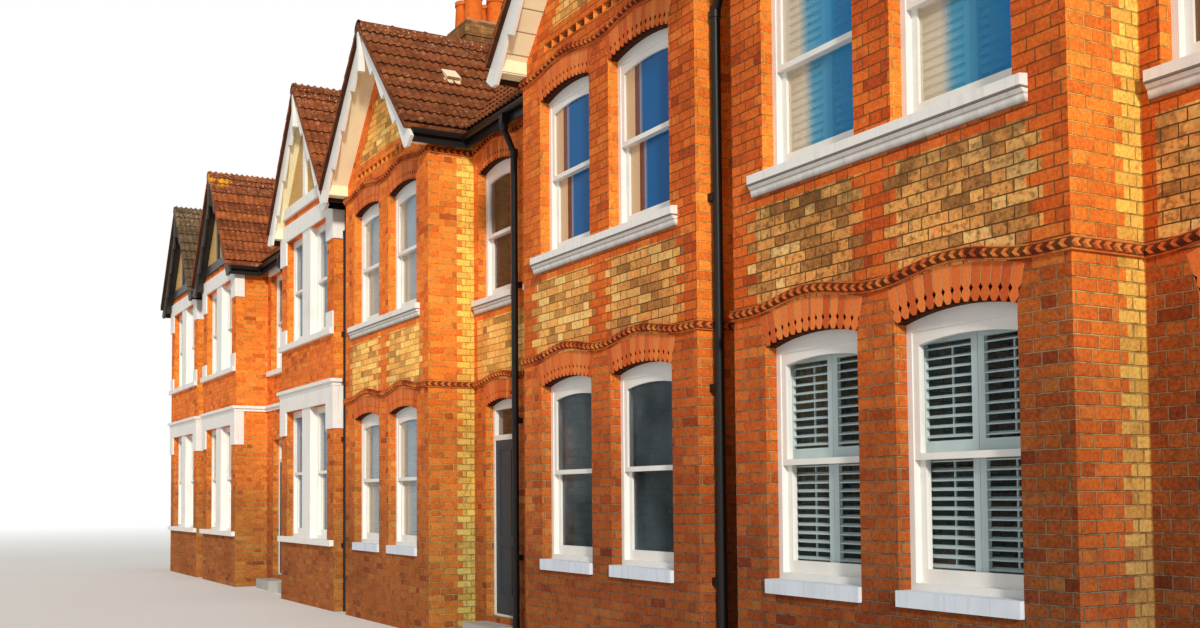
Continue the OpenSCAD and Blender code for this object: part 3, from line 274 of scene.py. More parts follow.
    # Grain and wear of the faces, then mortar that the rain has washed out.
    speckle = mottle(tree, place, 48.0, 7.0)
    grain = paint_steps(tree, speckle, (0.30, (0.20, 0.17, 0.15)), (0.5, (0.5, 0.5, 0.5)),
                        (0.70, (0.78, 0.76, 0.72)))
    face = tint(tree, 0.55, face, grain, "OVERLAY")
    worn = times(tree, rising(tree, mottle(tree, place, 9.0, 7.0), 0.56, 0.70), 0.45)
    if panels:
        worn = times(tree, worn, rest_of(tree, zone))
    face = tint(tree, worn, face, (0.24, 0.070, 0.020, 1))
    washed = rising(tree, mottle(tree, place, 16.0, 5.0), 0.46, 0.62)
    mortar = tint(tree, times(tree, washed, 0.60), mortar, (0.12, 0.055, 0.022, 1))
    wall = tint(tree, brick, mortar, face)
    # The painted sunlight is multiplied into the wall here.
    if panels or cast:
        paler = tint(tree, 1.0, wall, sunlit_gain, "MULTIPLY")
        wall = tint(tree, times(tree, painted_sunlight, 0.85), wall, paler)
    # Grime in broad clouds, and painted shade, with some damp, that darkens the wall towards its foot.
    grime = rising(tree, mottle(tree, place, 0.9, 5.0), 0.44, 0.66)
    foot = rising(tree, calc(tree, "MULTIPLY_ADD", mottle(tree, place, 1.3, 4.0), 1.6, z), 4.0, 1.8)
    if not stock:
        wall = shade(tree, times(tree, foot, 0.75), wall, (0.25, 0.42, 0.82, 1))
    wall = shade(tree, times(tree, grime, 0.40), wall, (0.50, 0.44, 0.40, 1))
    if sooty:
        smoke = rising(tree, mottle(tree, place, 5.0, 4.0), 0.20, 0.56)
        wall = tint(tree, smoke, wall, (0.20, 0.095, 0.036, 1))
    height = calc(tree, "MULTIPLY_ADD", speckle, 0.4, brick)
    if cast:
        pebbles = mottle(tree, place, 45.0, 5.0)
        rough = times(tree, is_over(tree, z, ROUGHCAST_LOW), is_under(tree, y, BAY_FACE + 0.05))
        ochre = paint_steps(tree, pebbles, (0.3, (0.42, 0.23, 0.07)), (0.7, (0.78, 0.50, 0.20)))
        wall = tint(tree, rough, wall, ochre)
        height = choose(tree, rough, height, pebbles)
    coat(tree, shader, wall)
    raise_surface(tree, shader, height, 0.008)
    return finish


def finish_nodes(finish, *names):
    for name in names:
        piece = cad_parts[name]
        for place in range(len(piece.material_slots)):
            piece.material_slots[place].material = finish


front_brick = brick_finish("front_brick", panels=True)
finish_nodes(front_brick, "bay_front_4", "bay_front_5", "bay_front_6", "bay_side_walls", "recessed_walls")
finish_nodes(brick_finish("cast_gable", cast=True), "bay_front_1", "bay_front_2", "bay_front_3")

# Party walls, end walls and rear wall. Plain yellow stock brick, one brick thick, as such rows have inside
# and at the back. The end walls are party walls that stand free here.
stock_brick = brick_finish("stock_brick", stock=True)
finish_nodes(stock_brick, "end_walls", "party_walls", "rear_wall")

# Arches of cut red brick. Soft red rubbing bricks, each cut to a wedge with a waist and a blunt point, set
# with thin lime joints on the arc of the opening. The hollows behind their faces are painted dark as shade.
ARCH_RISE = 0.065
SPRING_LOW, SPRING_HIGH = 2.651, 5.430
STOREY_SPLIT = 4.0
TO_WINDOW, WINDOW_W = 0.6705, 0.993
DOOR_MID, DOOR_W = 4.0755, 0.820
LANDING_MID, LANDING_W = 3.9255, 0.900


def arch_finish():
    finish, tree, shader, place = new_finish("rubbed_brick", 0.85)
    x, y, z = split_up(tree, place)
    u = calc(tree, "PINGPONG", x, HOUSE)
    upper = is_over(tree, z, STOREY_SPLIT)
    spring = calc(tree, "MULTIPLY_ADD", upper, SPRING_HIGH - SPRING_LOW, SPRING_LOW)
    at_door = is_over(tree, y, DOOR_WALL - 0.01)

    def angle_of(middle, width, count):
        radius = (width * width / 4 + ARCH_RISE * ARCH_RISE) / (2 * ARCH_RISE)
        half = math.asin(width / 2 / radius)
        low = calc(tree, "ADD", minus(tree, z, spring), radius - ARCH_RISE)
        side = minus(tree, u, middle) if isinstance(middle, float) else middle
        turn = calc(tree, "ARCTAN2", side, low)
        return calc(tree, "MULTIPLY_ADD", turn, count / (2 * half), 0.5 * (count % 2))

    window = minus(tree, calc(tree, "ABSOLUTE", minus(tree, u, BAY_MID)), TO_WINDOW)
    over_window = angle_of(window, WINDOW_W, 14)
    over_door = angle_of(DOOR_MID, DOOR_W, 12)
    over_upper = angle_of(LANDING_MID, LANDING_W, 13)
    recessed = choose(tree, upper, over_door, over_upper)
    which = choose(tree, at_door, over_window, recessed)
    part = calc(tree, "FRACT", which)
    near = calc(tree, "MINIMUM", part, rest_of(tree, part))
    brick = rising(tree, near, 0.025, 0.055)
    bay = calc(tree, "FLOOR", calc(tree, "DIVIDE", x, 1.3))
    number = node(tree, "ShaderNodeCombineXYZ", {0: calc(tree, "FLOOR", which), 1: bay})
    chance = node(tree, "ShaderNodeTexWhiteNoise", {"Vector": number.outputs[0]}).outputs["Value"]
    face = paint_steps(tree, chance, (0.0, (0.56, 0.100, 0.026)), (0.5, (0.72, 0.160, 0.036)),
                       (1.0, (0.82, 0.24, 0.060)))
    speckle = mottle(tree, place, 60.0, 4.0)
    grain = paint_steps(tree, speckle, (0.3, (0.3, 0.27, 0.25)), (0.7, (0.68, 0.66, 0.62)))
    face = tint(tree, 0.4, face, grain, "OVERLAY")
    wall = tint(tree, brick, (0.50, 0.30, 0.14, 1), face)
    # Painted shade: the deeper a surface lies behind the arch face, the darker it is painted.
    depth = minus(tree, y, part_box("ground_arches")[0][1])
    depth = calc(tree, "MULTIPLY_ADD", at_door, BAY_FACE - DOOR_WALL, depth)
    wall = tint(tree, rising(tree, depth, 0.004, 0.016), wall, (0.060, 0.018, 0.009, 1))
    coat(tree, shader, wall)
    raise_surface(tree, shader, calc(tree, "MULTIPLY_ADD", speckle, 0.4, brick), 0.003)
    return finish


finish_nodes(arch_finish(), "ground_arches", "upper_arches")

# String courses. Small moulded bricks, each with a pointed chevron in a sunk face, bedded in one course that
# runs level and rises in a wave over every arch. The backing band is the sunk face, painted dark as the
# shade behind the teeth.
PAIRS = (-9.252, 0.0, 9.252)
BAY_IN, BAY_END = 0.2475, 3.3355
STRING_OUT, STRING_MID, STRING_LEVELS = 0.022, 0.038, (2.885, 5.664)
TOOTH_SIZE = (0.028, 0.018, 0.050)
TOOTH_STEP, TOOTH_OUT = 0.080, 0.008
WAVE = 0.075


def pick(piece, kind, wanted):
    bpy.ops.mesh.select_mode(type=kind)
    bpy.ops.mesh.select_all(action="DESELECT")
    mesh = bmesh.from_edit_mesh(piece.data)
    if kind == "VERT":
        for point in mesh.verts:
            point.select_set(wanted(point.co))
    elif kind == "EDGE":
        for edge in mesh.edges:
            edge.select_set(wanted((edge.verts[0].co + edge.verts[1].co) / 2))
    else:
        for face in mesh.faces:
            face.select_set(wanted(face.calc_center_median()))
    mesh.select_flush_mode()
    bmesh.update_edit_mesh(piece.data)


def open_mesh():
    bpy.ops.object.mode_set(mode="EDIT")
    bpy.ops.mesh.select_mode(type="VERT")
    bpy.ops.mesh.select_all(action="SELECT")


def close_mesh():
    bpy.ops.object.mode_set(mode="OBJECT")


def only(*pieces):
    bpy.ops.object.select_all(action="DESELECT")
    for piece in pieces:
        piece.select_set(True)
    bpy.context.view_layer.objects.active = pieces[0]


def settle():
    bpy.ops.object.transform_apply(location=True, rotation=True, scale=True)


def block(size, place=(0, 0, 0)):
    bpy.ops.object.select_all(action="DESELECT")
    bpy.ops.mesh.primitive_cube_add(size=1, location=place, scale=size)
    settle()
    return bpy.context.object


def copy_at(model, place, turn=0.0):
    made = model.copy()
    made.data = model.data.copy()
    made.matrix_world = Matrix.Translation(place) @ Matrix.Rotation(turn, 4, "Z")
    bpy.context.collection.objects.link(made)
    return made


def join_pieces(pieces):
    only(*pieces)
    if len(pieces) > 1:
        bpy.ops.object.join()
    return bpy.context.object


def fix_in_place(piece, name, finish):
    only(piece)
    settle()
    piece.name = name
    piece.data.name = name
    piece.data.materials.clear()
    piece.data.materials.append(finish)
    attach(piece, "root")
    return piece


def stands(house):
    return PAIRS[(house - 1) // 2], 1 if house % 2 == 0 else -1


def swell(x, middles):
    near = [abs(x - middle) for middle in middles if abs(x - middle) < TO_WINDOW]
    return WAVE / 2 * (1 + math.cos(math.pi * min(near) / TO_WINDOW)) if near else 0.0


tooth = block(TOOTH_SIZE)
open_mesh()
bpy.ops.mesh.bisect(plane_co=(0, 0, 0), plane_no=(0, 0, 1))
pick(tooth, "VERT", lambda place: abs(place.z) < 0.001)
bpy.ops.transform.translate(value=(-TOOTH_SIZE[0], 0, 0))
pick(tooth, "VERT", lambda place: place.y < -0.006)
bpy.ops.transform.resize(value=(0.86, 1, 0.86), center_override=(-0.017, 0, 0))
bpy.ops.transform.translate(value=(0.004, 0, 0))
close_mesh()


def teeth_between(spots, start, end, place):
    count = max(1, round((end - start) / TOOTH_STEP))
    for number in range(count):
        spots.append(place(start + (number + 0.5) * (end - start) / count))


def teeth_of(house, level, over_door):
    pair, side = stands(house)
    height = level + STRING_MID
    front, back = BAY_FACE - STRING_OUT - TOOTH_OUT, DOOR_WALL - STRING_OUT - TOOTH_OUT
    over_windows = (BAY_MID - TO_WINDOW, BAY_MID + TO_WINDOW)
    spots = []
    teeth_between(spots, BAY_IN - STRING_OUT, BAY_END + STRING_OUT,
                  lambda x: ((pair + side * x, front, height + swell(x, over_windows)), 0.0))
    teeth_between(spots, BAY_END + STRING_OUT + 0.01, HOUSE - 0.01,
                  lambda x: ((pair + side * x, back, height + swell(x, (over_door,))), 0.0))
    for x, turn in ((BAY_IN - STRING_OUT - TOOTH_OUT, -side), (BAY_END + STRING_OUT + TOOTH_OUT, side)):
        teeth_between(spots, BAY_FACE - STRING_OUT, DOOR_WALL - STRING_OUT - 0.01,
                      lambda y: ((pair + side * x, y, height), turn * math.pi / 2))
    return [copy_at(tooth, place, turn) for place, turn in spots]


def in_the_groove(tree, place):
    x, y, z = split_up(tree, place)
    u = calc(tree, "PINGPONG", x, HOUSE)
    upper = is_over(tree, z, STOREY_SPLIT)
    over_door = choose(tree, upper, DOOR_MID, LANDING_MID)
    window = minus(tree, calc(tree, "ABSOLUTE", minus(tree, u, BAY_MID)), TO_WINDOW)
    on_bay = is_under(tree, y, BAY_FACE + 0.05)
    recessed = is_over(tree, y, DOOR_WALL - 0.05)
    away = choose(tree, on_bay, minus(tree, u, over_door), window)
    away = calc(tree, "MINIMUM", calc(tree, "ABSOLUTE", away), TO_WINDOW)
    wave = calc(tree, "COSINE", times(tree, away, math.pi / TO_WINDOW))
    wave = calc(tree, "MULTIPLY_ADD", wave, WAVE / 2, WAVE / 2)
    wave = times(tree, wave, calc(tree, "MAXIMUM", on_bay, recessed))
    low, high = STRING_LEVELS
    level = calc(tree, "MULTIPLY_ADD", upper, high - low, low + STRING_MID)
    rise = minus(tree, minus(tree, z, level), wave)
    return rising(tree, calc(tree, "ABSOLUTE", rise), 0.034, 0.028)


def moulded_finish(name, dark):
    finish, tree, shader, place = new_finish(name, 0.85)
    cell = node(tree, "ShaderNodeTexWhiteNoise",
                {"Vector": node(tree, "ShaderNodeVectorMath", {0: place, 1: (0.16, 0.16, 0.4)},
                                operation="SNAP").outputs[0]}).outputs["Value"]
    face = paint_steps(tree, cell, (0.0, (0.46, 0.085, 0.024)), (0.4, (0.70, 0.150, 0.034)),
                       (1.0, (0.80, 0.28, 0.06)))
    # On the band, painted shade darkens the sunk face behind the teeth along the middle of the course.
    groove = dark
    if dark > 0.5:
        groove = calc(tree, "MULTIPLY_ADD", in_the_groove(tree, place), dark - 0.15, 0.15)
    face = tint(tree, groove, face, (0.055, 0.018, 0.009, 1))
    rough = mottle(tree, place, 60.0, 4.0)
    grain = paint_steps(tree, rough, (0.3, (0.3, 0.28, 0.26)), (0.7, (0.66, 0.64, 0.6)))
    face = tint(tree, 0.4, face, grain, "OVERLAY")
    coat(tree, shader, face)
    raise_surface(tree, shader, rough, 0.002)
    return finish


moulded_brick = moulded_finish("tooth_brick", 0.1)
finish_nodes(moulded_finish("shaded_band", 0.88), "string_courses")
for storey, level, over_door in zip(("ground", "upper"), STRING_LEVELS, (DOOR_MID, LANDING_MID)):
    teeth = []
    for house in (4, 5, 6):
        teeth += teeth_of(house, level, over_door)
    fix_in_place(join_pieces(teeth), storey + "_string_teeth", moulded_brick)
bpy.data.objects.remove(tooth)

# Painted sills and render. Stone and cement render under many coats of white masonry paint, chalky and
# streaked by rain. The ground sills are a cooler, darker white as painted shade. The upper sills of the
# brick houses are moulded, with painted shadow lines in their grooves, painted shade at their foot, and soot
# drips.


def painted_stone(name, colour, dirt):
    finish, tree, shader, place = new_finish(name, 0.7)
    cloud = mottle(tree, place, 3.0, 5.0)
    streak = stretch(tree, place, (30.0, 30.0, 2.0))
    run = mottle(tree, streak, 1.0, 3.0)
    dark = tuple(0.55 * value for value in colour) + (1,)
    face = tint(tree, times(tree, rising(tree, run, 0.52, 0.8), dirt), (*colour, 1), dark)
    face = tint(tree, times(tree, rising(tree, cloud, 0.5, 0.75), dirt * 0.6), face, dark)
    coat(tree, shader, face)
    raise_surface(tree, shader, mottle(tree, place, 120.0, 3.0), 0.0015)
    return finish


white_render = painted_stone("white_render", (0.86, 0.84, 0.80), 0.35)
# The ground sills are painted a cooler, darker white as painted shade.
finish_nodes(painted_stone("shaded_ground_sill_paint", (0.68, 0.75, 0.84), 0.45), "ground_sills")
finish_nodes(white_render, "rendered_lintels", "rendered_sills", "rear_sills", "rendered_cornices")


def reopen(finish):
    tree = finish.node_tree
    shader = tree.nodes["Principled BSDF"]
    place = node(tree, "ShaderNodeTexCoord").outputs["Object"]
    return tree, shader, place, shader.inputs["Base Color"].links[0].from_socket


def sill_finish():
    finish = painted_stone("sill_paint", (0.86, 0.84, 0.80), 0.35)
    tree, shader, place, white = reopen(finish)
    low, high = (corner[2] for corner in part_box("upper_sills"))
    share = rising(tree, split_up(tree, place)[2], high, low)
    # Painted shadow lines under the mouldings, and painted shade towards the foot of the sill.
    lines = calc(tree, "MAXIMUM", between(tree, share, 0.44, 0.53),
                 times(tree, between(tree, share, 0.66, 0.72), 0.5))
    lines = calc(tree, "MAXIMUM", lines, times(tree, rising(tree, share, 0.80, 1.0), 0.75))
    drips = stretch(tree, place, (14.0, 14.0, 3.0))
    soot = times(tree, rising(tree, share, 0.50, 0.95),
                 rising(tree, mottle(tree, drips, 1.0, 6.0), 0.42, 0.62), 0.3)
    white = tint(tree, soot, white, (0.34, 0.27, 0.19, 1))
    coat(tree, shader, tint(tree, times(tree, lines, 0.85), white, (0.08, 0.05, 0.035, 1)))
    return finish


finish_nodes(sill_finish(), "upper_sills")

# Sash windows. Softwood box frames built into the brickwork, each with two sliding sashes, in white gloss
# paint that has yellowed a little. The rear windows and the front door frames are made the same way.


def gloss_paint(name, colour, roughness=0.35):
    finish, tree, shader, place = new_finish(name, roughness)
    grain = stretch(tree, place, (60.0, 60.0, 4.0))
    brush = mottle(tree, grain, 1.0, 4.0)
    cloud = mottle(tree, place, 4.0, 4.0)
    dark = tuple(0.78 * value for value in colour) + (1,)
    face = tint(tree, times(tree, rising(tree, cloud, 0.5, 0.8), 0.5), (*colour, 1), dark)
    coat(tree, shader, face)
    raise_surface(tree, shader, brush, 0.0008)
    return finish


white_paint = gloss_paint("white_paint", (0.82, 0.81, 0.77))
finish_nodes(white_paint, "window_frames_ground", "window_frames_upper", "sashes", "rear_windows",
             "front_door_frames")

# Window glass. Old sheet glass, a little uneven, puttied into the sashes. It is clear over the shutters of
# the end house and dim below in the next two, with a dim painted reflection. Upstairs it carries painted
# reflections in blue and cream, and in the far houses pale painted reflections.


def pane_finish():
    finish, tree, shader, place = new_finish("sash_glass", 0.05)
    shader.inputs["Specular IOR Level"].default_value = 0.10
    x, y, z = split_up(tree, place)
    end_house = is_over(tree, x, 2 * HOUSE)
    far_houses = is_under(tree, x, HOUSE)
    upstairs = is_over(tree, z, 3.5)
    nearest = calc(tree, "SNAP", calc(tree, "ADD", x, HOUSE), 2 * HOUSE)
    from_party = minus(tree, x, nearest)
    from_mid = minus(tree, calc(tree, "ABSOLUTE", from_party), BAY_MID)
    in_pane = minus(tree, calc(tree, "ABSOLUTE", from_mid), TO_WINDOW)
    in_pane = times(tree, in_pane, calc(tree, "SIGN", times(tree, from_party, from_mid)))
    # Painted reflections: cream light on one side of each pane and blue sky towards the other.
    open_light = rising(tree, in_pane, -0.22, -0.12)
    deep_light = rising(tree, in_pane, -0.10, 0.42)
    cloud = rising(tree, mottle(tree, place, 1.6, 3.0), 0.40, 0.70)
    # Dim painted reflection on the lower panes of the brick houses.
    dim = tint(tree, cloud, (0.030, 0.050, 0.060, 1), (0.12, 0.17, 0.20, 1))
    # A painted brown-red streak between the cream and the blue.
    red_streak = between(tree, in_pane, -0.25, -0.17)
    middle_light = tint(tree, red_streak, (0.92, 0.66, 0.40, 1), (0.30, 0.085, 0.026, 1))
    middle_light = tint(tree, open_light, middle_light, (0.001, 0.125, 0.380, 1))
    colour = tint(tree, upstairs, dim, middle_light)
    far_light = tint(tree, open_light, (0.92, 0.80, 0.62, 1), (0.30, 0.50, 0.66, 1))
    colour = tint(tree, far_houses, colour, far_light)
    blue = tint(tree, deep_light, (0.04, 0.42, 0.70, 1), (0.0, 0.26, 0.70, 1))
    bright = tint(tree, open_light, (0.95, 0.80, 0.58, 1), blue)
    near_light = tint(tree, upstairs, (0.12, 0.30, 0.36, 1), bright)
    colour = tint(tree, end_house, colour, near_light)
    # Glass in the recessed walls is painted brown.
    recessed = is_over(tree, y, BAY_FACE + 0.40)
    colour = tint(tree, recessed, colour, (0.26, 0.14, 0.07, 1))
    above = choose(tree, open_light, 0.58, 0.80)
    cover = choose(tree, upstairs, 0.45, above)
    cover = choose(tree, far_houses, cover, 0.30)
    near_cover = choose(tree, deep_light, 0.36, 0.62)
    near_cover = choose(tree, upstairs, 0.03, near_cover)
    cover = choose(tree, end_house, cover, near_cover)
    coat(tree, shader, colour)
    tree.links.new(cover, shader.inputs["Alpha"])
    raise_surface(tree, shader, mottle(tree, place, 3.0, 1.0), 0.01, 0.15)
    return finish


finish_nodes(pane_finish(), "sash_glass", "rear_glass")

# Shutters and blinds. The end house has louvred softwood shutters, hung on the inside of its frames, in pale
# paint tinted blue-green as a painted sky reflection. The four far houses, and the end house upstairs, have
# white slatted blinds, let down and closed, that hang from a head rail.
finish_nodes(gloss_paint("shutter_paint_and_sky_tint", (0.56, 0.67, 0.68), 0.45), "shutters")
BLIND_STEP, SLAT_W, SLAT_T, SLAT_TURN = 0.040, 0.044, 0.003, 1.20
RENDERED_IN, RENDERED_HALF, RENDERED_TO_WINDOW = 0.300, 1.375, 0.635
RENDERED_MID = RENDERED_IN + RENDERED_HALF


def repeat(piece, count, step):
    rows = piece.modifiers.new("rows", "ARRAY")
    rows.count = count
    rows.use_relative_offset = False
    rows.use_constant_offset = True
    rows.constant_offset_displace = step
    only(piece)
    bpy.ops.object.modifier_apply(modifier=rows.name)


def blind(width, low, high):
    count = round((high - low) / BLIND_STEP)
    slat = block((width, SLAT_W, SLAT_T))
    open_mesh()
    bpy.ops.mesh.bisect(plane_co=(0, 0, 0), plane_no=(0, 1, 0))
    pick(slat, "VERT", lambda place: abs(place.y) < 0.001)
    bpy.ops.transform.translate(value=(0, 0, 0.004))
    bpy.ops.mesh.select_all(action="SELECT")
    bpy.ops.transform.rotate(value=SLAT_TURN, orient_axis="X", center_override=(0, 0, 0))
    close_mesh()
    repeat(slat, count, (0, 0, BLIND_STEP))
    head = block((width, 0.040, 0.045), (0, 0, count * BLIND_STEP + 0.01))
    foot = block((width, 0.022, 0.026), (0, 0, -0.03))
    for rail in (head, foot):
        only(rail)
        open_mesh()
        bpy.ops.mesh.bevel(offset=0.004, segments=2)
        close_mesh()
    return join_pieces([slat, head, foot])


blinds = []
for house in (1, 2, 3, 4, 6):
    pair, side = stands(house)
    middle, apart, width = RENDERED_MID, RENDERED_TO_WINDOW, 0.72
    if house >= 4:
        middle, apart, width = BAY_MID, TO_WINDOW, 0.86
    storeys = ((1.08, 2.62), (4.05, 5.42)) if house <= 4 else ((4.05, 5.38),)
    set_back = 0.232 if house <= 4 else 0.285
    for x in (middle - apart, middle + apart):
        for low, high in storeys:
            blinds.append(blind(width, low, high))
            blinds[-1].matrix_world = Matrix.Translation((pair + side * x, BAY_FACE + set_back, low))
for piece in blinds:
    only(piece)
    settle()
blind_paint = gloss_paint("blind_paint", (0.86, 0.84, 0.78), 0.5)
fix_in_place(join_pieces(blinds), "window_blinds", blind_paint)

# Doors and steps. Panelled softwood doors in dark gloss paint, hung in their frames under a fixed fanlight,
# and steps of worn grey stone bedded in front of them.
finish_nodes(gloss_paint("door_paint", (0.03, 0.06, 0.08), 0.3), "front_doors", "rear_doors")
finish_nodes(painted_stone("step_stone", (0.42, 0.41, 0.39), 0.5), "doorsteps")

# Floors. Softwood boards in both storeys, bare and dusty, nailed down on joists that span from one party
# wall to the next.
BOARD_W = 0.14


def board_finish(name, colour):
    finish, tree, shader, place = new_finish(name, 0.7)
    grain = stretch(tree, place, (3.0, 40.0, 3.0))
    fibre = mottle(tree, grain, 1.0, 4.0)
    part = calc(tree, "FRACT", calc(tree, "DIVIDE", split_up(tree, place)[1], BOARD_W))
    board = rising(tree, calc(tree, "MINIMUM", part, rest_of(tree, part)), 0.01, 0.03)
    dark = tuple(0.5 * value for value in colour) + (1,)
    face = tint(tree, rising(tree, fibre, 0.35, 0.7), (*colour, 1), dark)
    face = tint(tree, board, (0.02, 0.015, 0.01, 1), face)
    coat(tree, shader, face)
    raise_surface(tree, shader, board, 0.002)
    return finish


finish_nodes(board_finish("floor_boards", (0.30, 0.18, 0.09)), "ground_floor", "first_floor")

# Roof slopes. Interlocking clay-coloured tiles with three rolls each, hung on battens in level courses:
# brown on the main roof and the brick houses, grey or red on the bays of the rendered houses. Soot runs down
# them, and lichen grows in spots and, golden, round the top of one gable.
TILE_W, TILE_L, GAUGE, TILE_NOSE, COURSE_UP = 0.300, 0.30, 0.270, 0.022, 0.19
ROLLS = (TILE_W / 6, TILE_W / 2, TILE_W * 5 / 6)
ROOF_T, EAVES = 0.150, 0.130
RIDGE_Y, RIDGE_Z = BAY_FACE + 2.450, 7.987
PITCH = math.radians(45.7)
ROW_END = 3 * HOUSE
BAY_REACH, SLOPE_LEN = 2.75, 2.87
RENDERED_DROP, RENDERED_VERGE = 0.125, 0.230
BRICK_VERGE, VERGE_GAP = 0.350, 0.004


def tile_finish(name, light, dark, lichen, gold):
    finish, tree, shader, place = new_finish(name, 0.85)
    across, _, _, z = along_wall(tree, place)
    column = calc(tree, "FLOOR", calc(tree, "DIVIDE", across, TILE_W))
    course = calc(tree, "FLOOR", calc(tree, "DIVIDE", z, COURSE_UP))
    number = node(tree, "ShaderNodeCombineXYZ", {0: column, 1: course})
    chance = node(tree, "ShaderNodeTexWhiteNoise", {"Vector": number.outputs[0]}).outputs["Value"]
    face = tint(tree, chance, (*dark, 1), (*light, 1))
    spots = rising(tree, mottle(tree, place, 22.0, 6.0), 0.60, 0.66)
    face = tint(tree, times(tree, spots, 0.60), face, (*lichen, 1))
    cloud = rising(tree, mottle(tree, place, 7.0, 6.0), 0.40, 0.66)
    face = shade(tree, times(tree, cloud, 0.75), face, (0.45, 0.38, 0.34, 1))
    down = node(tree, "ShaderNodeCombineXYZ", {0: times(tree, across, 45.0), 1: times(tree, z, 4.0)})
    run = rising(tree, mottle(tree, down.outputs[0], 1.0, 3.0), 0.46, 0.66)
    face = shade(tree, times(tree, run, 0.5), face, (1.7, 1.6, 1.5, 1))
    by_ridge = times(tree, rising(tree, z, 7.25, 7.60),
                     rising(tree, mottle(tree, place, 30.0, 4.0), 0.62, 0.66))
    face = tint(tree, by_ridge, face, (0.62, 0.52, 0.40, 1))
    gold_top = (PAIRS[0] + RENDERED_MID, BAY_FACE - 0.05, 7.70)
    from_apex = node(tree, "ShaderNodeVectorMath", {0: place, 1: gold_top}, operation="DISTANCE").outputs[1]
    grown = times(tree, rising(tree, from_apex, 0.32, 0.16),
                 rising(tree, mottle(tree, place, 9.0, 5.0), 0.42, 0.50))
    face = tint(tree, times(tree, grown, gold), face, (0.86, 0.36, 0.02, 1))
    # Painted shade on the downward faces under the tile noses.
    normal = node(tree, "ShaderNodeNewGeometry").outputs["Normal"]
    under = is_under(tree, split_up(tree, normal)[2], -0.3)
    face = tint(tree, times(tree, under, 0.85), face, (0.030, 0.012, 0.006, 1))
    coat(tree, shader, face)
    raise_surface(tree, shader, mottle(tree, place, 90.0, 4.0), 0.003)
    return finish


brown_tile = tile_finish("brown_tile", (0.30, 0.092, 0.030), (0.15, 0.044, 0.016), (0.42, 0.25, 0.12), 0.0)
grey_tile = tile_finish("grey_tile", (0.18, 0.120, 0.070), (0.10, 0.068, 0.040), (0.32, 0.27, 0.14), 0.0)
red_tile = tile_finish("red_tile", (0.40, 0.112, 0.034), (0.20, 0.056, 0.022), (0.50, 0.32, 0.12), 1.0)
finish_nodes(brown_tile, "front_roof_slope", "rear_roof_slope", "bay_roofs_brown")
finish_nodes(grey_tile, "bay_roof_1")
finish_nodes(red_tile, "bay_roof_2", "bay_roof_3")

bpy.ops.object.select_all(action="DESELECT")
bpy.ops.mesh.primitive_grid_add(x_subdivisions=12, y_subdivisions=1, size=1,
                                location=(TILE_W / 2, TILE_L / 2, 0.004))
tile = bpy.context.object
tile.scale = (TILE_W, TILE_L, 1)
settle()
open_mesh()
pick(tile, "VERT", lambda place: min(abs(place.x - roll) for roll in ROLLS) < 0.01)
bpy.ops.transform.translate(value=(0, 0, 0.024))
pick(tile, "VERT", lambda place: 0.01 < min(abs(place.x - roll) for roll in ROLLS) < 0.03)
bpy.ops.transform.translate(value=(0, 0, 0.010))
pick(tile, "VERT", lambda place: place.y < 0.01)
bpy.ops.transform.translate(value=(0, 0, TILE_NOSE))
pick(tile, "EDGE", lambda place: place.y < 0.01)
bpy.ops.mesh.extrude_edges_move(TRANSFORM_OT_translate={"value": (0, 0.002, -TILE_NOSE)})
close_mesh()


def cut_off(piece, *planes):
    only(piece)
    for point, away in planes:
        open_mesh()
        bpy.ops.mesh.bisect(plane_co=point, plane_no=away, clear_outer=True)
        close_mesh()


def lay_tiles(corner, along, up, width, length, *planes):
    slope = copy_at(tile, (0, 0, 0))
    repeat(slope, math.ceil(width / TILE_W), (TILE_W, 0, 0))
    repeat(slope, math.ceil(length / GAUGE), (0, GAUGE, 0))
    normal = Vector(along).cross(Vector(up))
    turned = Matrix((along, up, normal)).transposed().to_4x4()
    slope.matrix_world = Matrix.Translation(corner) @ turned
    settle()
    cut_off(slope, *planes)
    return slope


def bay_of(house):
    pair, side = stands(house)
    if house <= 3:
        half, inner, verge = RENDERED_HALF, RENDERED_IN, RENDERED_VERGE
        rise = RIDGE_Z - RENDERED_DROP - PLATE
        pitch = math.acos(ROOF_T / math.hypot(rise, half)) - math.atan2(half, rise)
    else:
        half, inner, verge, pitch = BAY_HALF, BAY_IN, BRICK_VERGE, PITCH
    middle = pair + side * (inner + half)
    apex = PLATE + half * math.tan(pitch) + ROOF_T / math.cos(pitch)
    return middle, half, pitch, verge, apex


MAIN_TOP = (0, DOOR_WALL, PLATE + ROOF_T / math.cos(PITCH))
MAIN_UP = (0, math.cos(PITCH), math.sin(PITCH))
UNDER_MAIN = (0, math.sin(PITCH), -math.cos(PITCH))
for house in range(1, 7):
    middle, half, pitch, verge, apex = bay_of(house)
    run = half + EAVES
    low = PLATE + ROOF_T / math.cos(pitch) - EAVES * math.tan(pitch)
    reach = BAY_REACH + verge
    near = BAY_FACE - verge + VERGE_GAP
    back = near + math.ceil(reach / TILE_W) * TILE_W
    right = lay_tiles((middle + run, near, low), (0, 1, 0),
                      (-math.cos(pitch), 0, math.sin(pitch)), reach, run / math.cos(pitch),
                      ((middle, 0, 0), (-1, 0, 0)), (MAIN_TOP, UNDER_MAIN))
    left = lay_tiles((middle - run, back, low), (0, -1, 0),
                     (math.cos(pitch), 0, math.sin(pitch)), reach, run / math.cos(pitch),
                     ((middle, 0, 0), (1, 0, 0)), (MAIN_TOP, UNDER_MAIN))
    roof_tile, slot = brown_tile, "brown_tiles"
    if house <= 3:
        roof_tile, slot = (grey_tile, "grey_tiles") if house == 1 else (red_tile, "red_tiles")
    fix_in_place(join_pieces([right, left]), "bay_tiles_%d" % house, roof_tile)

